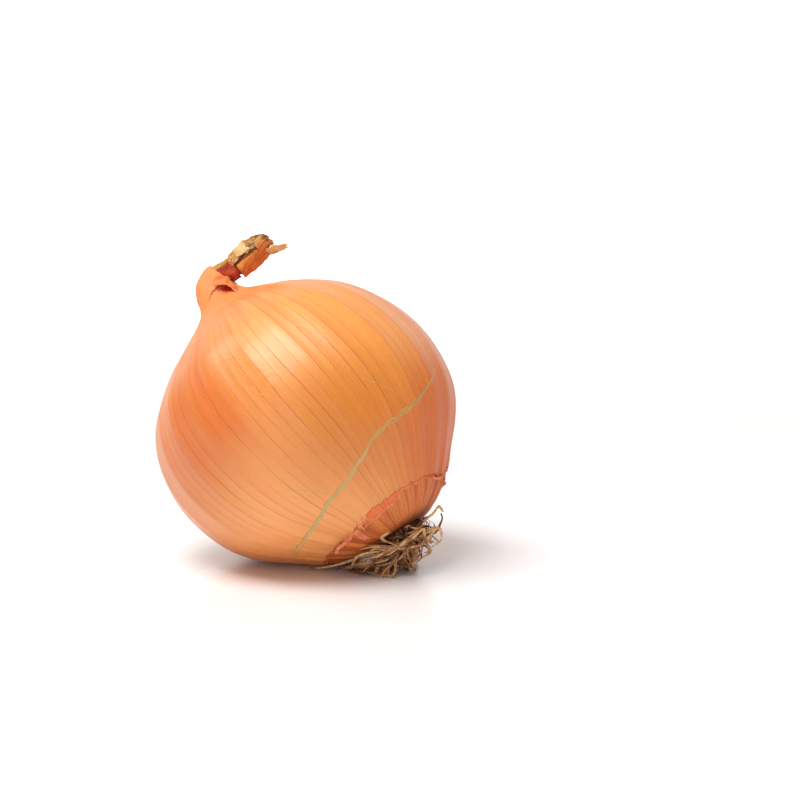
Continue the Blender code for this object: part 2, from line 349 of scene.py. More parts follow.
def speckle(tree, where, scale, detail=2.0, rough=0.5):
    """Soft noise between 0 and 1."""
    return add(
        tree, "ShaderNodeTexNoise", None, Vector=where, Scale=scale, Detail=detail,
        Roughness=rough,
    ).outputs["Fac"]


def new_group(name, inputs, outputs):
    """A shader node group with named sockets. Returns its tree, inputs and outputs."""
    tree = bpy.data.node_groups.new(name, "ShaderNodeTree")
    for title, (kind, value) in inputs.items():
        socket = tree.interface.new_socket(title, in_out="INPUT", socket_type=kind)
        if value is not None:
            socket.default_value = value
    for title, kind in outputs.items():
        tree.interface.new_socket(title, in_out="OUTPUT", socket_type=kind)
    return tree, tree.nodes.new("NodeGroupInput").outputs, tree.nodes.new("NodeGroupOutput").inputs


def use(tree, group, **inputs):
    """A group placed in a material. Returns its outputs."""
    return add(tree, "ShaderNodeGroup", {"node_tree": group}, **inputs).outputs


def colour(red, green, blue):
    """A colour as seen on screen, from 0 to 255, made linear."""
    linear = [((c / 255 + 0.055) / 1.055) ** 2.4 if c > 10 else c / 3294.6 for c in (red, green, blue)]
    return (*linear, 1.0)


def roughen(tree, shader, height, strength, distance):
    """A bump made from the height, for the shader's normal."""
    bump = add(tree, "ShaderNodeBump", None, Height=height, Strength=strength, Distance=distance)
    tree.links.new(bump.outputs[0], shader.inputs["Normal"])


def new_look(name, **constants):
    """A material with its tree and its Principled shader, constants set on sockets."""
    look = bpy.data.materials.new(name)
    look.use_nodes = True
    shader = look.node_tree.nodes["Principled BSDF"]
    for title, value in constants.items():
        shader.inputs[title.replace("_", " ")].default_value = value
    return look, look.node_tree, shader


print("helpers for shaders: add, maths, times, plus, between, blend, tint, speckle, use, roughen, new_look")

# %% [markdown]
# ## Veins and fibres
#
# Onion skin is a dried leaf, and its veins all run from the roots to the neck. Both
# patterns are drawn in skin coordinates. The turn is wound onto a circle first, so
# that the pattern has no seam, and noise stretched along the way gives streaks. The
# veins are thin lines that waver, fade and are not evenly spaced.

# %% The shared groups
FLOAT, VECTOR = "NodeSocketFloat", "NodeSocketVector"


def make_round_group():
    """Skin coordinates wound onto a circle, so that noise in them has no seam."""
    tree, inside, out = new_group(
        "Round the axis",
        {"Skin": (VECTOR, None), "Across": (FLOAT, 10.0), "Along": (FLOAT, 60.0)},
        {"Where": VECTOR, "Turn": FLOAT},
    )
    parts = add(tree, "ShaderNodeSeparateXYZ", None, _0=inside["Skin"]).outputs
    angle = times(tree, parts["X"], TURN)
    across = times(tree, maths(tree, "COSINE", angle), inside["Across"])
    aside = times(tree, maths(tree, "SINE", angle), inside["Across"])
    along = times(tree, parts["Y"], inside["Along"])
    where = add(tree, "ShaderNodeCombineXYZ", None, X=across, Y=aside, Z=along)
    tree.links.new(where.outputs[0], out["Where"])
    tree.links.new(parts["X"], out["Turn"])
    return tree


ROUND = make_round_group()


def make_vein_group():
    """Thin lines from root to neck, uneven, wavering and fading in places."""
    tree, inside, out = new_group(
        "Veins",
        {
            "Skin": (VECTOR, None), "Count": (FLOAT, 78.0), "Width": (FLOAT, 0.06),
            "Waver": (FLOAT, 0.5), "Fade": (FLOAT, 0.3),
        },
        {"Vein": FLOAT, "Swell": FLOAT},
    )
    slow = use(tree, ROUND, Skin=inside["Skin"], Across=2.6, Along=9.0)
    quick = use(tree, ROUND, Skin=inside["Skin"], Across=7.0, Along=55.0)
    faint = use(tree, ROUND, Skin=inside["Skin"], Across=7.6, Along=22.0)
    drift = off_half(tree, speckle(tree, slow["Where"], 1.0, 1.0))
    shake = off_half(tree, speckle(tree, quick["Where"], 1.0, 4.0, 0.6))
    wave = times(tree, drift, times(tree, inside["Waver"], 3.0))
    wave = plus(tree, wave, times(tree, shake, inside["Waver"]))
    lane = plus(tree, times(tree, slow["Turn"], inside["Count"]), wave)
    beside = maths(tree, "ABSOLUTE", off_half(tree, maths(tree, "FRACT", lane)))
    line = between(tree, beside, inside["Width"], 0.0)
    full = plus(tree, inside["Fade"], 0.22)
    strength = between(tree, speckle(tree, faint["Where"], 1.0, 1.0), inside["Fade"], full)
    tree.links.new(times(tree, line, strength), out["Vein"])
    tree.links.new(between(tree, beside, 0.5, 0.0), out["Swell"])
    return tree


VEINS = make_vein_group()


def make_fibre_group():
    """Streaks along the skin, coarse and fine, and the fine grain of its cells."""
    tree, inside, out = new_group(
        "Fibres", {"Skin": (VECTOR, None), "Spot": (VECTOR, None)},
        {"Coarse": FLOAT, "Fine": FLOAT, "Cells": FLOAT, "Patches": FLOAT},
    )
    coarse = use(tree, ROUND, Skin=inside["Skin"], Across=9.0, Along=28.0)
    fine = use(tree, ROUND, Skin=inside["Skin"], Across=90.0, Along=110.0)
    tree.links.new(speckle(tree, coarse["Where"], 1.0, 3.0), out["Coarse"])
    tree.links.new(speckle(tree, fine["Where"], 1.0, 3.0, 0.6), out["Fine"])
    tree.links.new(speckle(tree, inside["Spot"], 1500.0, 2.0, 0.7), out["Cells"])
    tree.links.new(speckle(tree, inside["Spot"], 38.0, 2.0), out["Patches"])
    return tree


FIBRES = make_fibre_group()


def skin_inputs(tree):
    """The skin map and the object's own coordinates."""
    mapped = add(tree, "ShaderNodeUVMap", {"uv_map": "skin"}).outputs[0]
    spot = add(tree, "ShaderNodeTexCoord").outputs["Object"]
    return mapped, spot


print("node groups:", [group.name for group in bpy.data.node_groups])

# %% [markdown]
# ## The papery skin
#
# The outer skin is thin, tough and satin: golden orange with paler and redder streaks,
# brown veins, and a fine sparkle where its cells catch the light. A little light goes
# through it, so the shader has some subsurface scattering, and a thin coat gives the
# broad soft shine. A picture of skin could be laid on instead, but noise stays sharp
# from close by and needs no file. A few soft zones tint the skin: one deepens the orange
# on the left and one is an olive tone of the skin's own, while three are painted light
# and shade: a painted highlight on the shoulder, paler painted light low in front and
# painted shade on the right side.

# %% The outer skin
# Where the skin is tinted: a place, how far the tint reaches, its strength and its tone.
# The first zone is a deeper orange on the left, the second a painted highlight, the
# third painted light low in front, the fourth an olive tone of the skin's own, and the
# last painted shade on the right side, which also shines less.
SKIN_TONES_AND_PAINTED_LIGHT = (
    # A deeper orange on the left side.
    (Vector((-24.0, -32.0, 40.0)) * MM, 26 * MM, 0.55, colour(200, 88, 20)),
    # Painted highlight: a yellower glow where the broad shine lies on the shoulder.
    (Vector((4.0, -26.0, 62.0)) * MM, 34 * MM, 0.5, colour(244, 168, 82)),
    # Painted light: paler low in front, as if lit from the white table.
    (Vector((3.0, -30.0, 16.0)) * MM, 34 * MM, 0.65, colour(242, 170, 100)),
    (Vector((10.4, -34.0, 42.0)) * MM, 26 * MM, 0.60, colour(194, 114, 26)),
    # Painted shade with a warm painted reflection: darker and redder on the right side.
    (Vector((36.0, -14.0, 34.0)) * MM, 28 * MM, 0.75, colour(206, 94, 10)),
)
SCUFF_STRENGTH = 0.17
SHINE, SHADED_SHINE = 0.42, 0.05
NECK_ROUGHNESS, SMOOTHER_BELOW = 0.56, -0.22
# Painted shade: a dark red patch where the fold under the neck stands over the skin.
HOLLOW_SHADE_SPOT = Vector((-20.0, 6.2, 68.9)) * MM
HOLLOW_SHADE_REACH = 3.4 * MM
NECK_BASE = way_at_height(75 * MM)


def near_spot(tree, spot, centre, reach):
    """A soft round mask about a place on the onion."""
    away = add(tree, "ShaderNodeVectorMath", {"operation": "DISTANCE"}, _0=spot, _1=centre)
    return between(tree, away.outputs["Value"], reach, 0.2 * reach)


def make_outer_skin():
    """The golden outer skin: tone zones, painted light and shade, veins and shine."""
    look, tree, shader = new_look(
        "outer skin", Coat_Roughness=0.28, IOR=1.5,
        Subsurface_Weight=0.08, Subsurface_Scale=0.003,
    )
    shader.inputs["Subsurface Radius"].default_value = (1.0, 0.35, 0.12)
    mapped, spot = skin_inputs(tree)
    veins = use(tree, VEINS, Skin=mapped)
    minor = use(tree, VEINS, Skin=mapped, Count=171.0, Width=0.14, Waver=1.0, Fade=0.44)
    fibres = use(tree, FIBRES, Skin=mapped, Spot=spot)

    base = blend(
        tree, between(tree, fibres["Patches"], 0.3, 0.7), colour(215, 113, 28), colour(211, 122, 36)
    )
    streak = between(tree, fibres["Coarse"], 0.35, 0.7)
    base = tint(tree, base, colour(220, 144, 56), streak, 0.6)
    red = between(tree, fibres["Coarse"], 0.46, 0.2)
    base = tint(tree, base, colour(200, 92, 28), red, 0.55)
    pale = between(tree, fibres["Fine"], 0.5, 0.75)
    base = tint(tree, base, colour(232, 152, 70), pale, 0.4)
    contour = maths(tree, "ABSOLUTE", off_half(tree, speckle(tree, spot, 85.0, 3.0)))
    scuffed = times(tree, between(tree, contour, 0.010, 0.0), SCUFF_STRENGTH)
    scuffed = times(tree, scuffed, between(tree, fibres["Patches"], 0.53, 0.64))
    base = blend(tree, scuffed, base, colour(250, 196, 142))
    # The zones lay deeper and olive tones, a painted highlight, painted light low in front and painted shade
    # on the right side over the base.
    for centre, reach, strength, tone in SKIN_TONES_AND_PAINTED_LIGHT:
        zone = times(tree, near_spot(tree, spot, centre, reach), strength)
        base = blend(tree, zone, base, tone)
    way = add(tree, "ShaderNodeSeparateXYZ", None, _0=mapped).outputs["Y"]
    below_neck = between(tree, way, NECK_BASE + 6 * MM, NECK_BASE - 20 * MM)
    worn = blend(tree, speckle(tree, spot, 160.0, 4.0), colour(218, 104, 44), colour(248, 160, 90))
    base = blend(tree, below_neck, worn, base)
    faint = times(tree, minor["Vein"], times(tree, below_neck, 0.3))
    base = blend(tree, faint, base, colour(190, 80, 26))
    clear = plus(tree, times(tree, below_neck, 0.6), 0.12)
    base = tint(tree, base, colour(188, 60, 16), veins["Vein"], clear)
    # Painted shade under the fold of skin at the neck.
    hollow = near_spot(tree, spot, HOLLOW_SHADE_SPOT, HOLLOW_SHADE_REACH)
    base = blend(tree, hollow, base, colour(196, 44, 8))
    tree.links.new(base, shader.inputs["Base Color"])

    smoother = times(tree, below_neck, SMOOTHER_BELOW)
    rough = plus(tree, NECK_ROUGHNESS, smoother)
    rough = plus(tree, rough, times(tree, fibres["Fine"], 0.22))
    tree.links.new(rough, shader.inputs["Roughness"])
    # Here zone is still the last one, the painted shade on the right side, where the coat is thinner so it
    # shines less.
    shine = add(tree, "ShaderNodeMix", None, _0=zone, _2=SHINE, _3=SHADED_SHINE).outputs[0]
    tree.links.new(times(tree, below_neck, shine), shader.inputs["Coat Weight"])

    height = plus(tree, veins["Vein"], veins["Swell"])
    height = plus(tree, height, fibres["Fine"])
    height = times(tree, height, 0.6)
    crumpled = times(tree, speckle(tree, spot, 260.0, 4.0, 0.6), 3.0)
    height = add(tree, "ShaderNodeMix", None, _0=below_neck, _2=crumpled, _3=height).outputs[0]
    height = plus(tree, height, times(tree, fibres["Cells"], 1.1))
    roughen(tree, shader, height, 0.5, 0.00022)
    return look


OUTER_SKIN = make_outer_skin()
print("made the material", OUTER_SKIN.name)

# %% [markdown]
# ## The skins underneath
#
# Below the torn hem the next skin shows. It is redder, drawn into pleats, and darker
# towards the root plate. Through the split a pale, greenish skin shows. Both
# could be copies of the outer skin, but they are simpler, so each is made from the
# same groups with other values.

# %% Under-skin and split floor
PLATE_DARKENING_START, PLATE_DARKENING_FULL = -8.5 * MM, -13.5 * MM


def make_under_skin():
    """The redder, pleated skin below the hem."""
    look, tree, shader = new_look("under skin", Coat_Weight=0.1, Coat_Roughness=0.4)
    mapped, spot = skin_inputs(tree)
    veins = use(tree, VEINS, Skin=mapped, Count=96.0, Width=0.2, Waver=1.2, Fade=0.4)
    fibres = use(tree, FIBRES, Skin=mapped, Spot=spot)
    base = blend(
        tree, between(tree, fibres["Coarse"], 0.35, 0.65), colour(192, 88, 30), colour(224, 132, 60)
    )
    base = tint(tree, base, colour(142, 58, 20), veins["Vein"], 0.5)
    way = add(tree, "ShaderNodeSeparateXYZ", None, _0=mapped).outputs["Y"]
    # Darker towards the root plate.
    darker_near_plate = between(tree, way, PLATE_DARKENING_START, PLATE_DARKENING_FULL)
    base = tint(tree, base, colour(104, 52, 24), darker_near_plate, 0.6)
    tree.links.new(base, shader.inputs["Base Color"])
    shader.inputs["Roughness"].default_value = 0.6
    height = plus(tree, fibres["Fine"], times(tree, veins["Swell"], 0.8))
    roughen(tree, shader, height, 0.8, 0.0003)
    return look


def make_split_floor():
    """The pale, greenish second skin that shows through the split."""
    look, tree, shader = new_look("split floor", Coat_Weight=0.15, Coat_Roughness=0.3)
    mapped, spot = skin_inputs(tree)
    fibres = use(tree, FIBRES, Skin=mapped, Spot=spot)
    base = blend(
        tree, between(tree, fibres["Patches"], 0.35, 0.65), colour(204, 158, 90), colour(196, 166, 104)
    )
    base = blend(tree, between(tree, fibres["Fine"], 0.6, 0.8), base, colour(196, 132, 70))
    tree.links.new(base, shader.inputs["Base Color"])
    shader.inputs["Roughness"].default_value = 0.5
    roughen(tree, shader, fibres["Fine"], 0.5, 0.0002)
    return look


UNDER_SKIN = make_under_skin()
SPLIT_FLOOR = make_split_floor()
print("made the materials", UNDER_SKIN.name, "and", SPLIT_FLOOR.name)

# %% [markdown]
# ## Dried leaves
#
# Every dried leaf and scrap is the same stuff, lighter or darker with age: two tones
# in flecks, a deeper one along its veins and as painted shade in its creases, and grey
# mould in one place near the tip of the neck. So one function makes all of these materials.

# %% Leaf materials
MOULD_REACH = 6.0 * MM
MOULD_SPOT = PLACE @ (Vector((15.0, -2.4, 84.0)) * MM)


def leaf_look(name, light, dark, deep, roughness, bump_size=0.00025, mould=False):
    """A dried leaf: streaks between two colours, with a deeper brown along its veins and as painted shade in
    its creases.
    """
    look, tree, shader = new_look(name, Roughness=roughness)
    mapped, spot = skin_inputs(tree)
    fibres = use(tree, FIBRES, Skin=mapped, Spot=spot)
    flecks = speckle(tree, spot, 420.0, 3.0)
    base = blend(tree, between(tree, flecks, 0.4, 0.62), light, dark)
    # Painted shade: the deeper brown lies where the fine fibres sink, in the bump's creases.
    base = blend(tree, between(tree, fibres["Fine"], 0.5, 0.3), base, deep)
    veins = use(tree, VEINS, Skin=mapped, Count=96.0, Width=0.14, Waver=1.0, Fade=0.42)
    base = tint(tree, base, deep, veins["Vein"], 0.5)
    if mould:
        patch = near_spot(tree, spot, MOULD_SPOT, MOULD_REACH)
        patchy = between(tree, speckle(tree, spot, 700.0, 3.0), 0.4, 0.6)
        base = tint(tree, base, colour(84, 66, 40), patch, patchy)
    tree.links.new(base, shader.inputs["Base Color"])
    height = plus(tree, fibres["Fine"], times(tree, flecks, 0.6))
    roughen(tree, shader, height, 0.8, bump_size)
    return look


SECOND_SKIN = leaf_look(
    "second skin", colour(232, 122, 62), colour(220, 108, 50), colour(196, 82, 34), 0.45
)
# Darker red, partly the torn edge's own colour and partly painted shade along the hem.
TORN_EDGE_AND_SHADE = leaf_look(
    "torn edge", colour(204, 88, 36), colour(184, 66, 24), colour(140, 40, 14), 0.6
)
FRAYED_EDGE = leaf_look(
    "frayed edge", colour(236, 168, 116), colour(216, 132, 82), colour(176, 88, 46), 0.7
)
SCRAP_SKIN = leaf_look(
    "scrap of skin", colour(242, 156, 108), colour(228, 128, 80), colour(186, 84, 46), 0.55
)
FLAP_SKIN = leaf_look(
    "flap", colour(222, 128, 70), colour(206, 108, 54), colour(182, 84, 40), 0.55
)
SLEEVE_LINING = leaf_look(
    "sleeve lining", colour(196, 66, 18), colour(170, 50, 12), colour(126, 30, 6), 0.65
)
BROWN_LEAF = leaf_look(
    "brown leaf", colour(222, 134, 50), colour(206, 114, 40), colour(182, 92, 30), 0.4
)
TAN_LEAF = leaf_look(
    "tan leaf", colour(222, 168, 88), colour(196, 132, 56), colour(134, 80, 30), 0.7, mould=True
)
PALE_LEAF = leaf_look(
    "pale leaf", colour(244, 206, 148), colour(232, 182, 114), colour(196, 132, 68), 0.6
)
STUB_LOOK = leaf_look(
    "stub", colour(190, 118, 50), colour(162, 84, 32), colour(96, 50, 20), 0.75, 0.0004, mould=True
)
print(f"{len(bpy.data.materials)} materials so far")

# %% [markdown]
# ## Dry root fibre
#
# Roots and the root plate are dry, matt fibre with soil left in patches. A UV map
# could carry the pattern, but roots are so thin and twisted that noise in object
# coordinates looks the same, and it needs no map.

# %% Root materials


def root_look(name, light, dark, dirt):
    """Dry root fibre: two browns in fine flecks, and dirt in patches."""
    look, tree, shader = new_look(name, Roughness=0.85)
    spot = add(tree, "ShaderNodeTexCoord").outputs["Object"]
    flecks = speckle(tree, spot, 1500.0, 3.0, 0.65)
    patches = speckle(tree, spot, 260.0, 2.0)
    base = blend(tree, between(tree, flecks, 0.38, 0.62), light, dark)
    base = blend(tree, between(tree, patches, 0.5, 0.7), base, dirt)
    tree.links.new(base, shader.inputs["Base Color"])
    height = plus(tree, flecks, times(tree, patches, 1.5))
    roughen(tree, shader, height, 1.0, 0.0004)
    return look


ROOT_LOOKS = [
    root_look("pale root", colour(236, 198, 148), colour(204, 156, 106), colour(146, 98, 60)),
    root_look("tan root", colour(208, 162, 114), colour(172, 124, 82), colour(104, 66, 42)),
    root_look("brown root", colour(146, 100, 64), colour(108, 70, 44), colour(56, 36, 24)),
]
PLATE_LOOK = root_look("root plate", colour(74, 44, 28), colour(48, 28, 18), colour(26, 16, 10))
KNOB_LOOK = root_look("root knob", colour(128, 74, 42), colour(92, 50, 28), colour(46, 26, 16))
print(f"{len(bpy.data.materials)} materials in all, but for the table's")

# %% [markdown]
# ## The bulb
#
# The bulb is one closed skin. From the root plate its rings climb the pleated cone of
# under-skin, dip into a pocket below the torn hem of the outer skin, come back round
# the hem's thin edge and run up the body to the sleeve round the neck. The photograph
# also shows a split that wanders round the bulb. The mesh lines are bent so that four
# of them run along it: two on its edges and two on its sunken floor. That gives a real
# groove with clean edges, which cutting faces out of a grid would not.

# %% The hem and the split
HEM_DIPS = (
    (0, 0.6), (40, 1.2), (75, -0.3), (110, 0.8), (150, 0.2), (185, -0.4), (210, -0.6),
    (222, -1.3), (240, -1.9), (250, -1.2), (258, 0.1), (285, 0.0), (310, -0.4),
    (323, -0.3), (338, -1.8), (348, -1.6),
)
SPLIT = (
    (201, 10.9), (222, 10.6), (240, 11.5), (255, 12.9), (270, 14.0), (279, 15.5),
    (287, 17.6), (297, 18.6), (312, 19.2), (324, 21.3), (336, 24.6), (346, 27.4),
)
SPLIT_WIDTH = 1.15 * MM
SPLIT_DEPTH = 0.24 * MM
SPLIT_HOME = way_at_height(15 * MM)
HEM_LIFT = 0.42 * MM
POCKET_WAY = 1.9 * MM
LIP_WAY = -0.06 * MM


def around(angle, stations):
    """A value that is given at some turns, in degrees, smoothed all the way round."""
    degrees = (angle / TURN * 360) % 360
    turns, values = zip(*stations)
    wrapped = np.array([turns[-1] - 360, *turns, turns[0] + 360])
    return float(np.interp(degrees, wrapped, [values[-1], *values, values[0]]))


def hem_shift(angle):
    """How far down the skin the hem's torn edge reaches."""
    shift = around(angle, HEM_DIPS) + 0.6 * ring_noise(angle, 9, 4.0)
    tears = 0.6 * abs(ring_noise(angle, 16, 5.0)) + 0.3 * ring_noise(angle, 70, 6.0)
    return MM * (shift + tears)


def split_shift(angle):
    """How far along the skin the split is from its home ring."""
    height = around(angle, SPLIT) * MM
    wiggle = 0.5 * ring_noise(angle, 14, 7.0) + 0.12 * ring_noise(angle, 40, 8.0)
    return way_at_height(height) - SPLIT_HOME + wiggle * MM


def split_open(angle):
    """How open the split is: 0 beyond its ends, about 1 between them."""
    degrees = (angle / TURN * 360) % 360
    ends = ease(degrees, 197, 214) * ease(degrees, 340, 322)
    return ends * (1 + 0.45 * ring_noise(angle, 12, 3.0) + 0.12 * ring_noise(angle, 50, 9.0))


print(f"the split is {SPLIT_WIDTH / MM:.2f} mm wide and {SPLIT_DEPTH / MM:.2f} mm deep")

# %% [markdown]
# ## Rings that follow the hem and the split
#
# The rings are listed from the root plate up to the socket inside the sleeve, and spun.
# Then each vertex goes to where its ring is at that turn: rings near the hem follow
# its torn edge, and rings beside the split follow the split. The faces between certain
# rings get the under-skin, the split's floor or the torn edge's look as their material;
# that look is a darker red, partly painted shade along the hem.

# %% The bulb


def skin_rings():
    """The rings of the closed bulb, from pole to pole, as (way, lift, split side)."""
    rings = [(FOOT_WAY, -1.0 * MM, 0)]
    rings += [(way, 0.0, 0) for way in np.arange(FOOT_WAY, -0.4 * MM, 0.55 * MM)]
    rings += [(0.4 * MM, 0.0, 0), (1.2 * MM, 0.0, 0), (POCKET_WAY, 0.03 * MM, 0)]
    rings += [(POCKET_WAY, 0.10 * MM, 0), (1.1 * MM, 0.16 * MM, 0), (0.4 * MM, 0.22 * MM, 0)]
    rings += [(0.0, 0.26 * MM, 0), (LIP_WAY, 0.34 * MM, 0), (0.0, HEM_LIFT, 0)]
    for way in (0.25, 0.6, 1.0, 1.6, 2.4, 3.3):
        rings.append((way * MM, HEM_LIFT * (1 - ease(way, 0, 6)), 0))
    lower = np.arange(4.1 * MM, SPLIT_HOME - 1.2 * MM, 0.62 * MM)
    rings += [(way, HEM_LIFT * (1 - ease(way, 0, 6 * MM)), 0) for way in lower]
    rings += [(SPLIT_HOME, 0.0, side) for side in (-3, -2, -1, 1, 2, 3)]
    upper = np.arange(SPLIT_HOME + 1.3 * MM, NECK_WAY - 0.4 * MM, 0.72 * MM)
    rings += [(way, 0.0, 0) for way in upper]
    rings += [(NECK_WAY, 0.0, 0), (NECK_WAY + 0.05 * MM, -0.12 * MM, 0)]
    sleeve_depth = SLEEVE_END - SOCKET_FLOOR
    rings += [(NECK_WAY - sleeve_depth * step / 6, -0.26 * MM, 0) for step in range(7)]
    return [*rings, (NECK_WAY - sleeve_depth, -3.0 * MM, 0)]


def bent_ring(way, side, angle):
    """Where a ring is at this turn, once the hem and the split have pulled on it."""
    pull = ease(way, 9 * MM, 0.3 * MM) if way > -0.3 * MM else 0
    shift = hem_shift(angle) * pull
    falls = ease(way, 0, SPLIT_HOME) if way < SPLIT_HOME else ease(way, SPLIT_HOME + 38 * MM, SPLIT_HOME)
    shift += split_shift(angle) * falls * (1 - pull)
    reach = {0: 0, 1: 0.26, 2: 0.5, 3: 0.72}[abs(side)]
    gap = max(split_open(angle), 0.03) * SPLIT_WIDTH * reach
    return way + shift + (gap if side > 0 else -gap)


BULB_SEGMENTS = 360
SPLIT_EDGE_LIFT = 0.10 * MM


def make_bulb():
    """The closed bulb, from its rings to its finished piece."""
    rings = skin_rings()
    bm = spun([(way, lift) for way, lift, side in rings], BULB_SEGMENTS)
    ways = bm.verts.layers.float["way"]
    lifts = bm.verts.layers.float["lift"]
    sides = [side for way, lift, side in rings]
    angles = [turn_of(vert) for vert in bm.verts]
    numbers = [round(vert.co.z) for vert in bm.verts]
    for vert, angle, number in zip(bm.verts, angles, numbers):
        if angle is None:
            height = np.interp(vert[ways], line_way, line_up)
            if number:
                height = SOCKET_FLOOR
            vert.co = PLACE @ fold_over(Vector((0, 0, height)))
            continue
        side = sides[number]
        way = bent_ring(vert[ways], side, angle)
        lift = vert[lifts]
        if abs(side) in (1, 2):
            opened = min(max(split_open(angle), 0), 1)
            lift = -SPLIT_DEPTH * opened if abs(side) == 1 else SPLIT_EDGE_LIFT * opened
        vert[ways] = way
        vert.co = PLACE @ on_skin(way, angle, lift)
    map_skin(bm, angles)
    hem_number = next(n for n, (way, lift, side) in enumerate(rings) if way == POCKET_WAY)
    lip_number = next(n for n, (way, lift, side) in enumerate(rings) if way == LIP_WAY)
    first_side = next(n for n, (way, lift, side) in enumerate(rings) if side == -2)
    for face in bm.faces:
        low = min(numbers[vert.index] for vert in face.verts)
        if low <= hem_number + 1:
            face.material_index = 1
        if low in (first_side, first_side + 1, first_side + 2):
            face.material_index = 2
        # The hem's lip gets the torn edge's darker red, partly painted shade.
        if low in (lip_number - 1, lip_number, lip_number + 1):
            face.material_index = 3
    piece = to_object("bulb_skin", bm, OUTER_SKIN, UNDER_SKIN, SPLIT_FLOOR, TORN_EDGE_AND_SHADE)
    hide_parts("bulb")


make_bulb()

# %% [markdown]
# ## Torn skin at the base
#
# Below the outer skin's hem a second skin shows, torn off lower down. It could be more
# rings of the bulb's mesh, but as a thin band of its own it can stand off the bulb. It
# is spun like the bulb, and its lower rings follow a ragged edge.

# %% The second skin
SECOND_SKIN_REACH = (
    (0, 1.0), (30, 2.2), (70, 1.2), (120, 2.6), (160, 1.0), (200, 0.8), (226, 1.0), (240, 2.3),
    (252, 3.1), (266, 3.0), (282, 2.7), (289, 2.3), (293, 0.6), (320, 0.9), (334, 2.6), (350, 2.4),
)


def second_skin_edge(angle):
    """How far down the second skin is left, as a way below the hem."""
    reach = around(angle, SECOND_SKIN_REACH) + 0.5 * ring_noise(angle, 11, 12.0)
    return -MM * (reach + 0.3 * ring_noise(angle, 24, 13.0) + 0.22 * ring_noise(angle, 90, 14.0))


def make_second_skin():
    """A thin band that comes out from under the hem, with a ragged lower edge."""
    upper_edge = 1.5 * MM
    shares = [0, 0.2, 0.4, 0.6, 0.8, 0.93, 1.0]
    rings = [(share, 0.13 * MM + 0.22 * MM * share**2) for share in shares]
    rings += [(share, 0.03 * MM + 0.20 * MM * share**2) for share in reversed(shares)]
    bm = spun(rings, BULB_SEGMENTS, band=True)
    ways = bm.verts.layers.float["way"]
    lifts = bm.verts.layers.float["lift"]
    angles = [atan2(vert.co.y, vert.co.x) for vert in bm.verts]
    shares_down = [vert[ways] for vert in bm.verts]
    for vert, angle in zip(bm.verts, angles):
        edge = second_skin_edge(angle)
        vert[ways] = upper_edge + (edge - upper_edge) * vert[ways]
        curl = 0.25 * MM * max(ring_noise(angle, 20, 15.0), 0) * ease(vert[ways], edge + MM, edge)
        vert.co = PLACE @ on_skin(vert[ways], angle, vert[lifts] + curl)
    map_skin(bm, angles)
    bmesh.ops.recalc_face_normals(bm, faces=bm.faces)
    for face in bm.faces:
        lowest = max(shares_down[vert.index] for vert in face.verts)
        face.material_index = 1 if lowest > 0.99 else 0
    piece = to_object("second_skin", bm, SECOND_SKIN, FRAYED_EDGE)
    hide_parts("bulb")


make_second_skin()

# %% [markdown]
# ## Thin sheets
#
# Scraps of skin and dry leaves are thin sheets. They could be pulled into shape by
# hand, or by a cloth simulation, but a rule gives the same scrap every time. Each
# starts as a small grid whose two directions run along and across the scrap. The rule
# sends every point of the grid to its turn, way and lift on the onion, and a Solidify
# modifier gives it its thickness.

# %% Helpers for sheets


def thicken(piece, thickness):
    """Gives a sheet its wall, half of it on either side."""
    wall = piece.modifiers.new("thickness", "SOLIDIFY")
    wall.thickness = thickness
    wall.offset = 0


def make_sheets(name, surface, spreads, looks, thickness, columns=24, rows=12):
    """One piece of thin sheets. A spread sends (along, across), each from 0 to 1, to
    (way, angle, lift) on the surface."""
    bm = bmesh.new()
    ways = bm.verts.layers.float.new("way")
    angles = []
    for number, spread in enumerate(spreads):
        before = len(bm.faces)
        bmesh.ops.create_grid(bm, x_segments=columns, y_segments=rows, size=0.5)
        bm.verts.ensure_lookup_table()
        for vert in bm.verts[len(angles):]:
            way, angle, lift = spread(vert.co.x + 0.5, vert.co.y + 0.5)
            vert[ways] = way
            vert.co = PLACE @ surface(way, angle, lift)
            angles.append(angle)
        bm.faces.ensure_lookup_table()
        for face in bm.faces[before:]:
            face.material_index = number % len(looks)
    bm.verts.index_update()
    map_skin(bm, angles)
    piece = to_object(name, bm, *looks)
    thicken(piece, thickness)
    return piece


def rag(value, seed):
    """Uneven noise for a torn edge."""
    coarse = noise.noise(Vector((value * 4, seed, 0.5)))
    return coarse + 0.5 * noise.noise(Vector((value * 15, seed, 1.5)))


print("helpers for sheets: thicken, make_sheets, rag")

# %% [markdown]
# ## Scraps of the hem
#
# Where the hem dried it rolled outwards, and in places a scrap hangs from it. Two
# rules cover both: a strip that rolls up, and a tongue that stands off at its end.

# %% Scraps of the hem


def curled_hem(start, end, way, radius, turn, seed):
    """A strip of hem between two turns, in degrees, that rolls outwards."""

    def spread(along, across):
        angle = radians(start + (end - start) * along)
        ends = ease(along, -0.05, 0.2) * ease(along, 1.05, 0.85)
        roll = -pi / 2 + turn * across * (0.85 + 0.3 * rag(along, seed))
        size = radius * (0.7 + 0.5 * ends + 0.25 * rag(along * 2, seed + 3))
        lift = 0.30 * MM + size * (1 + sin(roll))
        return way + MM * 0.5 * rag(along, seed + 5) - size * cos(roll), angle, lift

    return spread


def hanging_scrap(turn, way, width, length, lift, seed):
    """A scrap that hangs from the hem and stands off it at its ragged end."""

    def spread(along, across):
        reach = length * across * (1 + 0.5 * rag(along, seed))
        side = (along - 0.5) * width * (1 - 0.35 * across + 0.2 * rag(across, seed + 2))
        rise = 0.35 * MM + lift * across**1.5 + 0.4 * MM * rag(along + across, seed + 4) * across
        return way - reach, radians(turn) + side, rise

    return spread


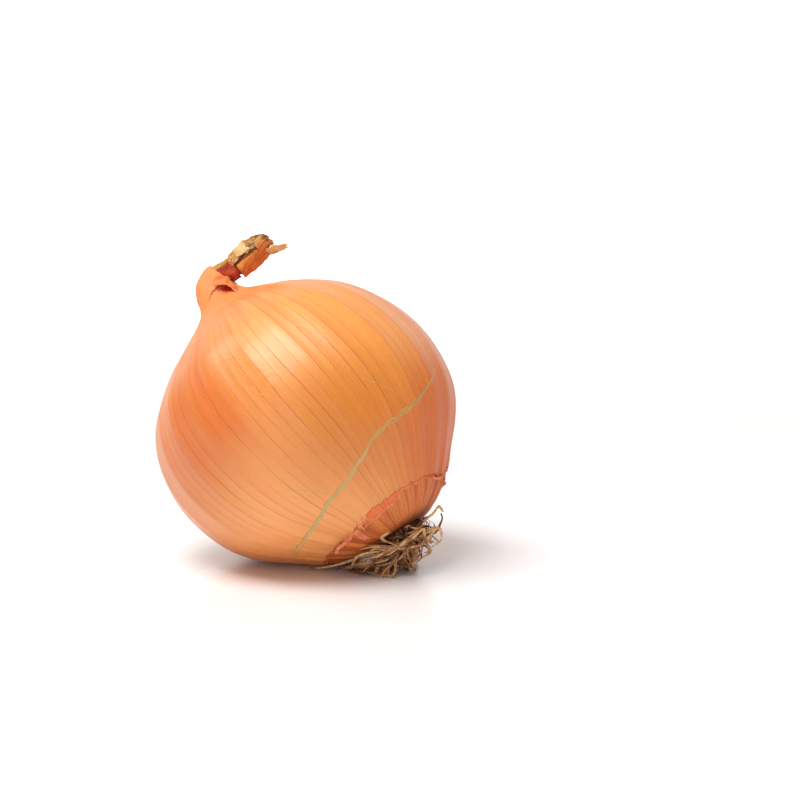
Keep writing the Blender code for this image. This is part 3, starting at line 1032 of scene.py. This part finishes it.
def make_hem_scraps():
    """Curled strips and hanging scraps, all along the hem."""
    spreads = (
        curled_hem(215, 243, -0.9 * MM, 0.62 * MM, 3.6, 1.0),
        hanging_scrap(245, -1.6 * MM, 0.13, 3.0 * MM, 1.3 * MM, 2.0),
        hanging_scrap(251, -0.6 * MM, 0.10, 1.7 * MM, 0.7 * MM, 3.0),
        hanging_scrap(256, 0.4 * MM, 0.17, 1.9 * MM, 0.35 * MM, 9.0),
        curled_hem(326, 346, -1.6 * MM, 0.40 * MM, 3.6, 5.0),
        curled_hem(20, 58, -0.2 * MM, 0.45 * MM, 3.9, 6.0),
        hanging_scrap(92, -0.6 * MM, 0.22, 2.4 * MM, 0.7 * MM, 7.0),
        hanging_scrap(131, 0.0 * MM, 0.18, 2.8 * MM, 0.6 * MM, 8.0),
    )
    piece = make_sheets("hem_scraps", on_skin, spreads, [SCRAP_SKIN], 0.11 * MM, 40, 14)
    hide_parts("bulb")


make_hem_scraps()

# %% [markdown]
# ## Thin cracks
#
# Three cracks as thin as hairs cross the skin: two pale ones on the body, and a dark
# one that runs down from the fold under the neck. The skin's material could draw them,
# but a narrow strip that lies along the skin and thins out at its ends can be put in
# its place by two turns and two heights.

# %% Thin cracks


def hairline(turns, heights, width):
    """A crack as thin as a hair, between two turns, in degrees, and heights, in mm."""

    def spread(along, across):
        angle = radians(float(np.interp(along, [0, 1], turns)))
        height = float(np.interp(along, [0, 1], heights)) * MM
        wave = 0.5 * rag(along, 8.0) * MM
        thin = width * ease(along, 0, 0.3) * ease(along, 1.02, 0.6) * (across - 0.5)
        return way_at_height(height) + wave + thin, angle, 0.05 * MM * (1 - abs(2 * across - 1))

    return spread


def make_hairlines():
    """The three thin cracks."""
    spreads = (
        hairline((246, 259), (20.5, 12.8), 0.32 * MM),
        hairline((296, 311), (31.5, 20.6), 0.18 * MM),
        hairline((302, 240), (79.2, 77.0), 0.55 * MM),
    )
    # The dark crack takes the torn edge's look, a darker red that is partly painted shade.
    looks = [SPLIT_FLOOR, SPLIT_FLOOR, TORN_EDGE_AND_SHADE]
    piece = make_sheets("hairline_cracks", on_skin, spreads, looks, 0.06 * MM, 80, 4)
    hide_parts("bulb")


make_hairlines()

# %% [markdown]
# ## The fold under the neck
#
# Where the neck bends over, a fold of skin stands off the bulb, over a dark hollow
# that is painted shade on the outer skin.
# It is a sheet again, but its shape is too free for a rule. So it follows rows of
# places in millimetres, from its root to its lip, and a smooth curve runs through
# them both ways.

# %% The fold under the neck
FLAP_ROWS = (
    ((-24.0, 8.4, 70.2), (-21.4, 9.0, 71.4), (-19.4, 8.0, 70.4), (-17.0, 4.0, 68.2)),
    ((-23.7, 7.0, 69.8), (-21.4, 6.8, 70.9), (-19.5, 5.8, 69.9), (-17.3, 2.8, 68.2)),
    ((-23.6, 6.0, 69.6), (-21.3, 5.0, 70.4), (-19.4, 4.4, 69.6), (-17.5, 2.2, 68.1)),
    ((-23.6, 5.9, 69.3), (-21.2, 4.7, 69.9), (-19.3, 4.1, 69.1), (-17.7, 2.0, 67.9)),
)


def flap(along, across):
    """The fold of skin that stands off the bulb where the neck bends over."""
    rows = [smooth_line(row, 8) for row in FLAP_ROWS]
    column = smooth_line([row[round(along * (len(row) - 1))] for row in rows], 8)
    spot = column[round(across * (len(column) - 1))]
    crease = 0.55 * rag(along * 2.2, 21.0) * across + 0.3 * rag(along * 4 + across, 22.0)
    spot = spot + Vector((0, -1, 0.6)) * crease * (1 - abs(2 * along - 1) ** 3)
    return tuple(spot * MM)


def make_neck_flap():
    """The fold of skin, as a sheet on places of its own."""
    piece = make_sheets(
        "neck_flap", lambda x, y, z: PLACE.inverted() @ Vector((x, y, z)), (flap,), [FLAP_SKIN],
        0.16 * MM, 24, 24,
    )
    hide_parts("bulb")


make_neck_flap()

# %% [markdown]
# ## The dried neck
#
# Above the sleeve the leaves dried to a stub: a knobbed, twisted bundle, pinched where
# it leaves the sleeve and swollen beyond. It could be many twisted leaves, but so few
# of them show that one spun body does, with creases. Ways are counted up the neck
# before it was folded.

# %% The stub
CLEARANCE = 0.3 * MM
SLEEVE_WALL = 0.9 * MM
STUB_START = SOCKET_FLOOR + CLEARANCE
STUB_INSIDE = NECK_RADIUS * 0.82 - SLEEVE_WALL - CLEARANCE
STUB_OUT = SLEEVE_END + 0.5 * MM
TWIST_LENGTH = 14 * MM
STUB_RINGS, STUB_SEGMENTS = 110, 120
CREASE_DEPTH = 0.28 * MM
stub_line = smooth_line(
    (
        (STUB_INSIDE, STUB_START), (STUB_INSIDE, SLEEVE_END - 2 * MM), (2.9 * MM, STUB_OUT),
        (2.7 * MM, STUB_OUT + 1.8 * MM), (2.4 * MM, STUB_OUT + 2.7 * MM),
        (3.3 * MM, STUB_OUT + 3.8 * MM), (3.6 * MM, STUB_OUT + 8 * MM),
        (3.4 * MM, STUB_END - 3.5 * MM), (2.9 * MM, STUB_END - 1.0 * MM), (1.8 * MM, STUB_END),
    ),
    6,
)
stub_out = [point.x for point in stub_line]
stub_up = [point.y for point in stub_line]


def on_stub(way, angle, lift=0.0):
    """The place in the growing frame of a point of the stub."""
    out = float(np.interp(way, stub_up, stub_out))
    twist = angle + (way - FOLD_START) / TWIST_LENGTH
    beyond = ease(way, SLEEVE_END, SLEEVE_END + 2 * MM)
    out *= 1 + beyond * (0.16 * cos(2 * twist) + 0.10 * cos(5 * twist + 1))
    spot = Vector((out * cos(angle), out * sin(angle), way))
    out += beyond * 0.5 * MM * noise.noise(spot / (2.5 * MM)) + lift
    end = ease(way, STUB_END - 5 * MM, STUB_END)
    height = way + end * 2.0 * MM * ring_noise(angle, 2.0, 3.0)
    return fold_over(Vector((out * cos(angle), out * sin(angle), height)))


def stub_relief(way, angle):
    """Creases and fibres along the dried leaves."""
    twist = angle + (way - FOLD_START) / TWIST_LENGTH
    beyond = ease(way, SLEEVE_END - MM, SLEEVE_END + 2 * MM)
    crease = ring_noise(twist, 3.5, way * 90) + 0.6 * ring_noise(twist, 9, way * 160)
    return -beyond * CREASE_DEPTH * abs(crease)


def make_stub():
    """The stub, a spun body with a hollowed end."""
    rings = [(STUB_START, 0.0)]
    for number in range(STUB_RINGS + 1):
        rings.append((STUB_START + (STUB_END - STUB_START) * number / STUB_RINGS, 0.0))
    rings += [(STUB_END + share * MM, 0.0) for share in (-0.15, -0.5, -0.9)]
    bm = spun([*rings, (STUB_END - MM, 0.0)], STUB_SEGMENTS)
    ways = bm.verts.layers.float["way"]
    total = len(rings)
    angles = [turn_of(vert) for vert in bm.verts]
    for vert, angle in zip(bm.verts, angles):
        way = vert[ways]
        if angle is None:
            vert.co = PLACE @ fold_over(Vector((0, 0, way)))
            continue
        inward = max(round(vert.co.z) - (total - 4), 0)
        lift = stub_relief(way, angle) - 0.4 * MM * inward
        vert.co = PLACE @ on_stub(min(way, STUB_END), angle, lift)
    map_skin(bm, angles)
    bmesh.ops.recalc_face_normals(bm, faces=bm.faces)
    piece = to_object("dried_stub", bm, STUB_LOOK)
    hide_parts("neck_stub")


make_stub()

# %% [markdown]
# ## Leaves round the stub
#
# A smooth brown leaf still wraps the stub's lower side, dark red ones line the sleeve,
# and paler torn ones lie over the top. Each is a sheet that runs from one place to
# another along the stub, and between two turns round it.

# %% Leaves round the stub


def wrap(start, end, first, last, lift, seed, flare=0.0, tear=0.6, proud=0.0):
    """A leaf that wraps the stub: from a start to an end, in mm beyond the sleeve, and
    between two turns, in degrees. Its edges are torn, and its first edge may stand proud."""

    def spread(along, across):
        far = end + tear * rag(across * 1.5, seed)
        way = STUB_OUT + MM * (start + (far - start) * along)
        middle = (first + last) / 2
        half = (last - first) / 2 + 9 * tear * rag(along * 1.5, seed + 2)
        angle = radians(middle + half * (2 * across - 1))
        rise = lift + flare * along**2 + proud * (1 - along) ** 6
        rise -= 1.3 * ease(far * along + start * (1 - along), 10.5, 14.5)
        wrinkle = 0.22 * rag(along + 2 * across, seed + 4) + 0.12 * rag(3 * across, seed + 6)
        return way, angle, MM * (rise + wrinkle)

    return spread


def make_wraps():
    """The nine leaves round the stub and in the sleeve."""
    spreads = (
        wrap(-3.5, 2.5, -110, 80, 0.40, 1.0, 0.2),
        wrap(3.1, 13.6, -74, 60, 0.30, 2.0, 0.0, 0.4, 0.5),
        wrap(-2.5, 6.5, 140, 245, 0.25, 3.0, 0.2),
        wrap(2.0, 8.5, -165, -92, 0.40, 4.0, 0.2, 0.7, 0.3),
        wrap(7.0, 13.9, -176, -84, 0.35, 5.0, 0.2, 0.35, 0.4),
        wrap(5.0, 13.8, 50, 170, 0.25, 6.0, 0.1, 0.35),
        wrap(4.6, 8.4, -140, -92, 0.65, 7.0, 0.4, 0.6, 0.5),
        wrap(2.3, 4.6, -118, -86, 0.55, 8.0, 0.3, 0.5, 0.3),
        wrap(10.0, 13.8, -96, -62, 0.55, 9.0, 0.1, 0.3, 0.2),
    )
    looks = [
        SLEEVE_LINING, BROWN_LEAF, TAN_LEAF, TAN_LEAF, TAN_LEAF, TAN_LEAF, PALE_LEAF, PALE_LEAF,
        BROWN_LEAF,
    ]
    piece = make_sheets("leaf_wraps", on_stub, spreads, looks, 0.12 * MM, 40, 40)
    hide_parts("neck_stub")


make_wraps()

# %% [markdown]
# ## Loose flakes
#
# Pale flakes stand off the end of the stub, where the CAD model has its scraps. They
# point away from the surface, so matrices place them instead of a turn and a way.

# %% Loose flakes at the tip


def make_tip_flakes():
    """Four loose flakes, each a torn grid bent down a little."""
    axis_height = FOLD_START + FOLD_RADIUS
    flakes = (
        (15.4, 150, -36, 6.8, 3.6, 1.0), (14.6, 100, -30, 2.6, 2.0, 0.6),
        (12.8, -60, -10, 3.2, 3.6, 1.0), (12.6, 20, -8, 3.0, 3.6, 0.8),
    )
    bm = bmesh.new()
    angles = []
    ways = bm.verts.layers.float.new("way")
    for number, (along, turned, slant, length, width, curl) in enumerate(flakes):
        bmesh.ops.create_grid(bm, x_segments=28, y_segments=14, size=0.5)
        bm.verts.ensure_lookup_table()
        place = (
            PLACE
            @ Matrix.Translation((along * MM, 0, axis_height))
            @ Matrix.Rotation(radians(turned), 4, "X")
            @ Matrix.Translation((0, 0, 2.3 * MM))
            @ Matrix.Rotation(radians(slant), 4, "Y")
        )
        for vert in bm.verts[len(angles):]:
            share = vert.co.x + 0.5
            across = vert.co.y
            torn = 1 + 0.22 * rag(across * 1.2 + number, number + 1.0)
            ends = 0.5 + 1.6 * share - 1.7 * share**2
            side = across * width * (ends + 0.25 * rag(share * 2, number + 2.0))
            drop = curl * share**2 + 0.8 * side * side / width - 0.3 * rag(share + across, number)
            vert[ways] = STUB_OUT + share * 6 * MM
            angles.append(side / 4)
            vert.co = place @ (Vector((share * length * torn, side, -drop)) * MM)
    bm.verts.index_update()
    map_skin(bm, angles)
    piece = to_object("tip_flakes", bm, PALE_LEAF)
    thicken(piece, 0.13 * MM)
    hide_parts("neck_stub")


make_tip_flakes()

# %% [markdown]
# ## Roots
#
# The roots start on the root plate in a sunflower pattern, bend down to the table and
# lie there, matted and curled back under the bulb. The main ones follow the CAD
# model's lines, drawn with the same seed. Finer ones are drawn after them, and some
# loose ones run through places that are given one by one, in millimetres.

# %% The lines of the roots
PLATE_RADIUS = 6.8 * MM
PLATE_SHIFT = -1.0 * MM
PLATE_DEPTH = 2.4 * MM
PLATE_TOP = 0.012 * BULB_RADIUS - CLEARANCE
ROOTS = 52
FINE_ROOTS = 110
ROOT_STEPS = 7
ROOT_RADIUS = 0.52 * MM
ROOT_WOBBLE, ROOT_PULL = 0.48, 0.6
KNOBS = 18
MAIN_SWEEP = Vector((-0.8, 0.9, -0.3))
FINE_SWEEP = Vector((-1.3, 2.0, 0.2))
STRAY_ROOTS = (
    (0.75, (24, -18, 9), (23.1, -21.5, 7.8), (26.5, -22.5, 10), (29.3, -22, 12.4), (29.5, -20, 9.2)),
    (0.60, (22, -19, 8), (23.6, -22, 7.5), (29, -22, 8.6), (31, -20, 10.2), (32.8, -18, 11.8)),
    (0.55, (27, -15, 11), (31.5, -17, 15), (33.2, -15, 16.6), (34.4, -13, 14.8)),
    (0.50, (28, -16, 9), (33, -17, 11.6), (33.8, -17, 8.5), (31.5, -19, 7.2)),
    (0.60, (24, -18, 8), (19.6, -21, 6.8), (13.9, -22, 5.8), (12.4, -20, 4), (11.4, -18, 1.4)),
    (0.32, (22, -17, 7.5), (16.2, -19, 5.6), (9, -17.5, 2.6), (3, -15, 0.9), (-1.6, -13, 0.5)),
    (0.50, (25, -17, 8), (25.6, -21, 5.4), (26.8, -21.5, 3.0)),
    (0.55, (25, -17, 7), (20, -21, 4.6), (14, -20, 3.2), (10, -16, 1.2)),
    (0.60, (26, -17, 6), (22, -20, 3.6), (17, -18, 2.0), (12, -15, 0.9)),
    (0.45, (30, -16, 8), (31, -19, 5.8), (28, -20, 4.2), (26, -17, 2.0)),
    (0.95, (25, -17, 12), (21, -22, 12.4), (19.0, -23.0, 10.2), (23, -22, 8.2)),
    (0.90, (26, -17, 9), (22, -22.4, 8.0), (17.4, -23.4, 8.4), (13.6, -22, 7.2)),
    (0.80, (28, -15, 10), (28.4, -20, 11.6), (25, -22.4, 9.6), (21, -23, 6.6), (17, -20, 5.2)),
)


def base_height(out):
    """How high up the bulb's lower surface is, this far out from its growth axis."""
    outs, heights = zip(*STATIONS[1:9])
    return float(np.interp(out / BULB_RADIUS, outs, heights)) * BULB_RADIUS


def kept_free(point, radius):
    """A place near the point that is clear of the bulb and above the table."""
    grown = PLACE.inverted() @ point
    margin = radius + 1.0 * MM + 2.2 * MM * ease(hypot(grown.x, grown.y), 12 * MM, 20 * MM)
    grown.z = min(grown.z, base_height(hypot(grown.x, grown.y)) - margin)
    point = PLACE @ grown
    point.z = max(point.z, radius)
    return point


def root_line(number, total, draw, sweep):
    """The points of one dried root, from inside the plate to its tip, and its radius."""
    golden_angle = pi * (3 - sqrt(5))
    share = sqrt((number + 0.5) / total)
    angle = number * golden_angle
    radial = Vector((cos(angle), sin(angle), 0))
    start = Vector((PLATE_SHIFT, 0, -0.9 * MM)) + radial * share * (PLATE_RADIUS - 1.1 * MM)
    heading = Vector((0, 0, -1)) * (1.2 - 0.7 * share) + radial * share * 0.9
    point = PLACE @ start
    heading = PLACE.to_3x3() @ heading.normalized()
    length = draw.uniform(9, 16) * MM * (1 - 0.3 * share * cos(angle))
    radius = ROOT_RADIUS * draw.uniform(0.75, 1.25)
    points = [point]
    for step in range(ROOT_STEPS):
        wobble = Vector([draw.uniform(-1, 1) for _ in range(3)])
        heading = (heading + ROOT_WOBBLE * wobble + ROOT_PULL * step / ROOT_STEPS * sweep).normalized()
        point = point + heading * length / ROOT_STEPS
        if step > 0:
            point = kept_free(point, radius * 1.15)
        points.append(point)
    return points, radius


print(f"{ROOTS} main roots, {FINE_ROOTS} fine ones and {len(STRAY_ROOTS)} loose ones")

# %% [markdown]
# ## Roots as curves
#
# A root could be a spun tube that is bent, but a curve needs only its points, and takes
# its section from another curve. This one is flat and grooved, it twists on the way,
# and it swells and thins unevenly. The curves are made one mesh at the end, because
# a finished piece has its place in its mesh.

# %% Roots as curves
SECTION_SIDES = 12


def oval():
    """The flat section of a root: an oval with grooves, bent like a gutter."""
    ring = bpy.data.curves.new("root section", "CURVE")
    ring.dimensions = "2D"
    line = ring.splines.new("POLY")
    line.points.add(SECTION_SIDES - 1)
    line.use_cyclic_u = True
    for place, spot in enumerate(line.points):
        angle = TURN * place / SECTION_SIDES
        groove = 0.82 + 0.18 * cos(5 * angle + 1)
        spot.co = (groove * cos(angle), 0.42 * groove * sin(angle) + 0.2 * cos(angle) ** 2, 0, 1)
    return in_scene("root section", ring)


def make_roots():
    """All the roots as one mesh, with the same draws as the CAD model's."""
    draw = Random(7)
    for _ in range(KNOBS * 3):
        draw.random()
    lines = [root_line(number, ROOTS, draw, MAIN_SWEEP) for number in range(ROOTS)]
    fine = [root_line(number, FINE_ROOTS, draw, FINE_SWEEP) for number in range(FINE_ROOTS)]
    lines += [(points, radius * draw.uniform(0.3, 0.6)) for points, radius in fine]
    lines += [([Vector(at) * MM for at in places], radius * MM) for radius, *places in STRAY_ROOTS]
    section = oval()
    curve = bpy.data.curves.new("roots", "CURVE")
    curve.dimensions = "3D"
    curve.bevel_mode = "OBJECT"
    curve.bevel_object = section
    curve.use_fill_caps = True
    for look in ROOT_LOOKS:
        curve.materials.append(look)
    twist = Random(11)
    for number, (points, radius) in enumerate(lines):
        smooth = smooth_line(points, 4)
        line = curve.splines.new("POLY")
        line.points.add(len(smooth) - 1)
        line.material_index = 0 if number >= ROOTS + FINE_ROOTS else (1, 1, 2)[number % 3]
        start, spin = twist.uniform(0, pi), twist.uniform(-5, 5)
        for step, (spot, point) in enumerate(zip(line.points, smooth)):
            share = step / (len(smooth) - 1)
            spot.co = (*point, 1)
            knot = 1 + 0.35 * noise.noise(point / (1.3 * MM))
            spot.radius = radius * 1.15 * knot * (1.1 - 0.75 * share**2)
            spot.tilt = start + spin * share
    holder = in_scene("roots", curve)
    bpy.context.view_layer.update()
    graph = bpy.context.evaluated_depsgraph_get()
    mesh = bpy.data.meshes.new_from_object(holder.evaluated_get(graph))
    bpy.data.objects.remove(holder)
    bpy.data.objects.remove(section)
    bm = bmesh.new()
    bm.from_mesh(mesh)
    bmesh.ops.remove_doubles(bm, verts=bm.verts, dist=1e-7)
    bmesh.ops.recalc_face_normals(bm, faces=bm.faces)
    piece = to_object("dried_roots", bm, *ROOT_LOOKS)
    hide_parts("root_tuft")


make_roots()

# %% [markdown]
# ## The root plate
#
# The plate is a corky disc, a short cone with a roughened face. The knobs of broken
# roots on it are small balls in rows, each shifted a little by seeded draws, and noise
# makes them all uneven.

# %% The root plate
# Rows of knobs: how far out, how far down, both in mm, and how many.
BEAD_ROWS = (
    (6.9, 0.35, 46), (6.7, 1.1, 42), (6.4, 1.9, 38), (5.6, 2.5, 30), (4.4, 2.6, 22), (3.0, 2.6, 14),
)


def make_plate():
    """The corky plate, with the knobs of broken roots all over its rim."""
    bm = bmesh.new()
    bmesh.ops.create_cone(
        bm, cap_ends=True, segments=96, radius1=PLATE_RADIUS - 0.9 * MM,
        radius2=PLATE_RADIUS, depth=PLATE_DEPTH,
    )
    caps = [face for face in bm.faces if len(face.verts) > 4]
    for inset in (0.8, 0.8, 0.9, 1.0, 1.0):
        bmesh.ops.inset_region(bm, faces=caps, thickness=inset * MM, use_even_offset=True)
    bmesh.ops.translate(bm, verts=bm.verts, vec=(PLATE_SHIFT, 0, PLATE_TOP - PLATE_DEPTH / 2))
    for vert in bm.verts:
        rough = noise.noise(vert.co / (0.9 * MM)) + 0.6 * noise.noise(vert.co / (2.4 * MM))
        vert.co.z += 0.35 * MM * rough * ease(vert.co.z, PLATE_TOP - 0.5 * MM, PLATE_TOP - 2 * MM)
    draw = Random(5)
    places = []
    for row, (out, drop, count) in enumerate(BEAD_ROWS):
        places += [(out, drop, TURN * (n + 0.5 * row) / count) for n in range(count)]
    for out, drop, angle in places:
        out = (out + draw.uniform(-0.3, 0.3)) * MM
        drop = (drop + draw.uniform(-0.25, 0.25)) * MM
        angle += draw.uniform(-0.06, 0.06)
        size = draw.uniform(0.30, 0.58) * MM
        spot = Vector((PLATE_SHIFT + out * cos(angle), out * sin(angle), PLATE_TOP - drop))
        turned = Matrix.Rotation(draw.uniform(0, pi), 4, "Z") @ Matrix.Diagonal((1, 1, 1.3, 1))
        bmesh.ops.create_icosphere(
            bm, subdivisions=2, radius=size, matrix=Matrix.Translation(spot) @ turned
        )
    for vert in bm.verts:
        vert.co += 0.30 * MM * noise.noise_vector(vert.co / (0.55 * MM))
    for face in bm.faces:
        face.material_index = 1 if len(face.verts) == 3 else 0
    bm.transform(PLACE)
    piece = to_object("root_plate", bm, PLATE_LOOK, KNOB_LOOK)
    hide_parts("root_tuft")


make_plate()

# %% [markdown]
# ## The table
#
# The onion lies on a white, slightly glossy table that curves up into a white wall.
# Further out the table glows a little, so that it fades into the white background.
# The glow is weaker as a light than as the camera sees it, or it would wash out the
# onion's rim.

# %% The table
BACKDROP_LIGHT = 0.4
GLOW_START, GLOW_FULL = 0.25, 0.6
TABLE_HALF, WALL_HEIGHT, CORNER = 1.5, 1.5, 0.6


def make_stage():
    """The table and the wall behind it, as one bent sheet."""
    bm = bmesh.new()
    bmesh.ops.create_grid(bm, x_segments=1, y_segments=1, size=TABLE_HALF)
    back = [edge for edge in bm.edges if all(vert.co.y > 0 for vert in edge.verts)]
    wall = bmesh.ops.extrude_edge_only(bm, edges=back)["geom"]
    risen = [item for item in wall if isinstance(item, bmesh.types.BMVert)]
    bmesh.ops.translate(bm, verts=risen, vec=(0, 0, WALL_HEIGHT))
    bmesh.ops.bevel(
        bm, geom=back, offset=CORNER, affect="EDGES", segments=24, profile=0.5, material=-1
    )
    for face in bm.faces:
        face.smooth = True
    floor = bpy.data.meshes.new("table")
    bm.to_mesh(floor)
    bm.free()
    table = in_scene("table", floor)
    look, tree, shader = new_look("white table", Roughness=0.22)
    shader.inputs["Base Color"].default_value = (0.9, 0.9, 0.9, 1.0)
    spot = add(tree, "ShaderNodeTexCoord").outputs["Object"]
    far = add(tree, "ShaderNodeVectorMath", {"operation": "LENGTH"}, _0=spot).outputs["Value"]
    glow = times(tree, between(tree, far, GLOW_START, GLOW_FULL), dim_as_light(tree, BACKDROP_LIGHT))
    tree.links.new(glow, shader.inputs["Emission Strength"])
    shader.inputs["Emission Color"].default_value = (1.0, 1.0, 1.0, 1.0)
    floor.materials.append(look)


make_stage()
print(f"the table is {2 * TABLE_HALF:.0f} m across, with a wall {WALL_HEIGHT} m high behind it")

# %% [markdown]
# ## Studio light
#
# One large soft lamp high in front gives the broad shine on the shoulder. Smaller ones
# light the rims and the lower front. A warm one on the right warms the shaded side.
# The sky is plain white, and dimmer as a light than as the camera sees it.

# %% Lights


def soft_light(name, place, target, size, power, shade):
    """A rectangular lamp at the place, turned to the target."""
    light = bpy.data.lights.new(name, "AREA")
    light.shape = "RECTANGLE"
    light.size, light.size_y = size
    light.energy = power
    light.color = shade
    lamp = in_scene(name, light)
    lamp.location = place
    lamp.rotation_euler = (Vector(target) - Vector(place)).to_track_quat("-Z", "Y").to_euler()


# Each lamp: where it is from the onion, its size in metres, its power and its colour.
SKY_LIGHT = 0.32
WHITE = (1.0, 1.0, 1.0)
WARM = (1.0, 0.4, 0.1)
LAMPS = (
    ("overhead", (-0.27, -0.27, 0.92), (0.55, 0.42), 7.0, WHITE),
    ("left", (-0.69, 0.25, 0.62), (0.3, 0.3), 1.2, WHITE),
    ("right", (0.61, 0.61, 0.51), (0.5, 0.3), 0.3, WHITE),
    ("low front", (-0.30, -0.94, 0.16), (0.7, 0.4), 1.4, WHITE),
    ("warm right", (0.90, -0.40, 0.10), (0.5, 0.4), 1.4, WARM),
)
LAMP_DISTANCE = 0.8


def make_lights():
    """The white sky and the lamps."""
    world = bpy.data.worlds.new("studio")
    world.use_nodes = True
    tree = world.node_tree
    sky = tree.nodes["Background"]
    tree.links.new(dim_as_light(tree, SKY_LIGHT), sky.inputs["Strength"])
    sky.inputs["Color"].default_value = (1.0, 1.0, 1.0, 1.0)
    bpy.context.scene.world = world
    middle = Vector((0, 0, 0.04))
    for name, direction, size, power, shade in LAMPS:
        place = middle + Vector(direction).normalized() * LAMP_DISTANCE
        soft_light(name, place, middle, size, power, shade)


make_lights()
print(f"{len(LAMPS)} lamps, {LAMP_DISTANCE} m from the onion")

# %% [markdown]
# ## Camera
#
# The camera looks down by nine degrees, as in the photograph. A long lens from far
# away keeps the near side from looking too large. The onion is a little left of the
# middle of the picture.

# %% Camera
CAMERA_LENS = 100
CAMERA_DISTANCE = 0.57
CAMERA_ELEVATION = radians(9)
CAMERA_AIM = Vector((23.6, 6.3, 40.0)) * MM


def make_camera():
    """The camera, aimed at its place beside the onion."""
    camera = bpy.data.cameras.new("camera")
    camera.lens = CAMERA_LENS
    stand = in_scene("camera", camera)
    look = Vector((0, cos(CAMERA_ELEVATION), -sin(CAMERA_ELEVATION)))
    stand.location = CAMERA_AIM - look * CAMERA_DISTANCE
    stand.rotation_euler = look.to_track_quat("-Z", "Y").to_euler()
    bpy.context.scene.camera = stand


make_camera()
bpy.context.scene.view_settings.view_transform = "Standard"
print(f"the camera is {CAMERA_DISTANCE} m from the onion, with a {CAMERA_LENS} mm lens")
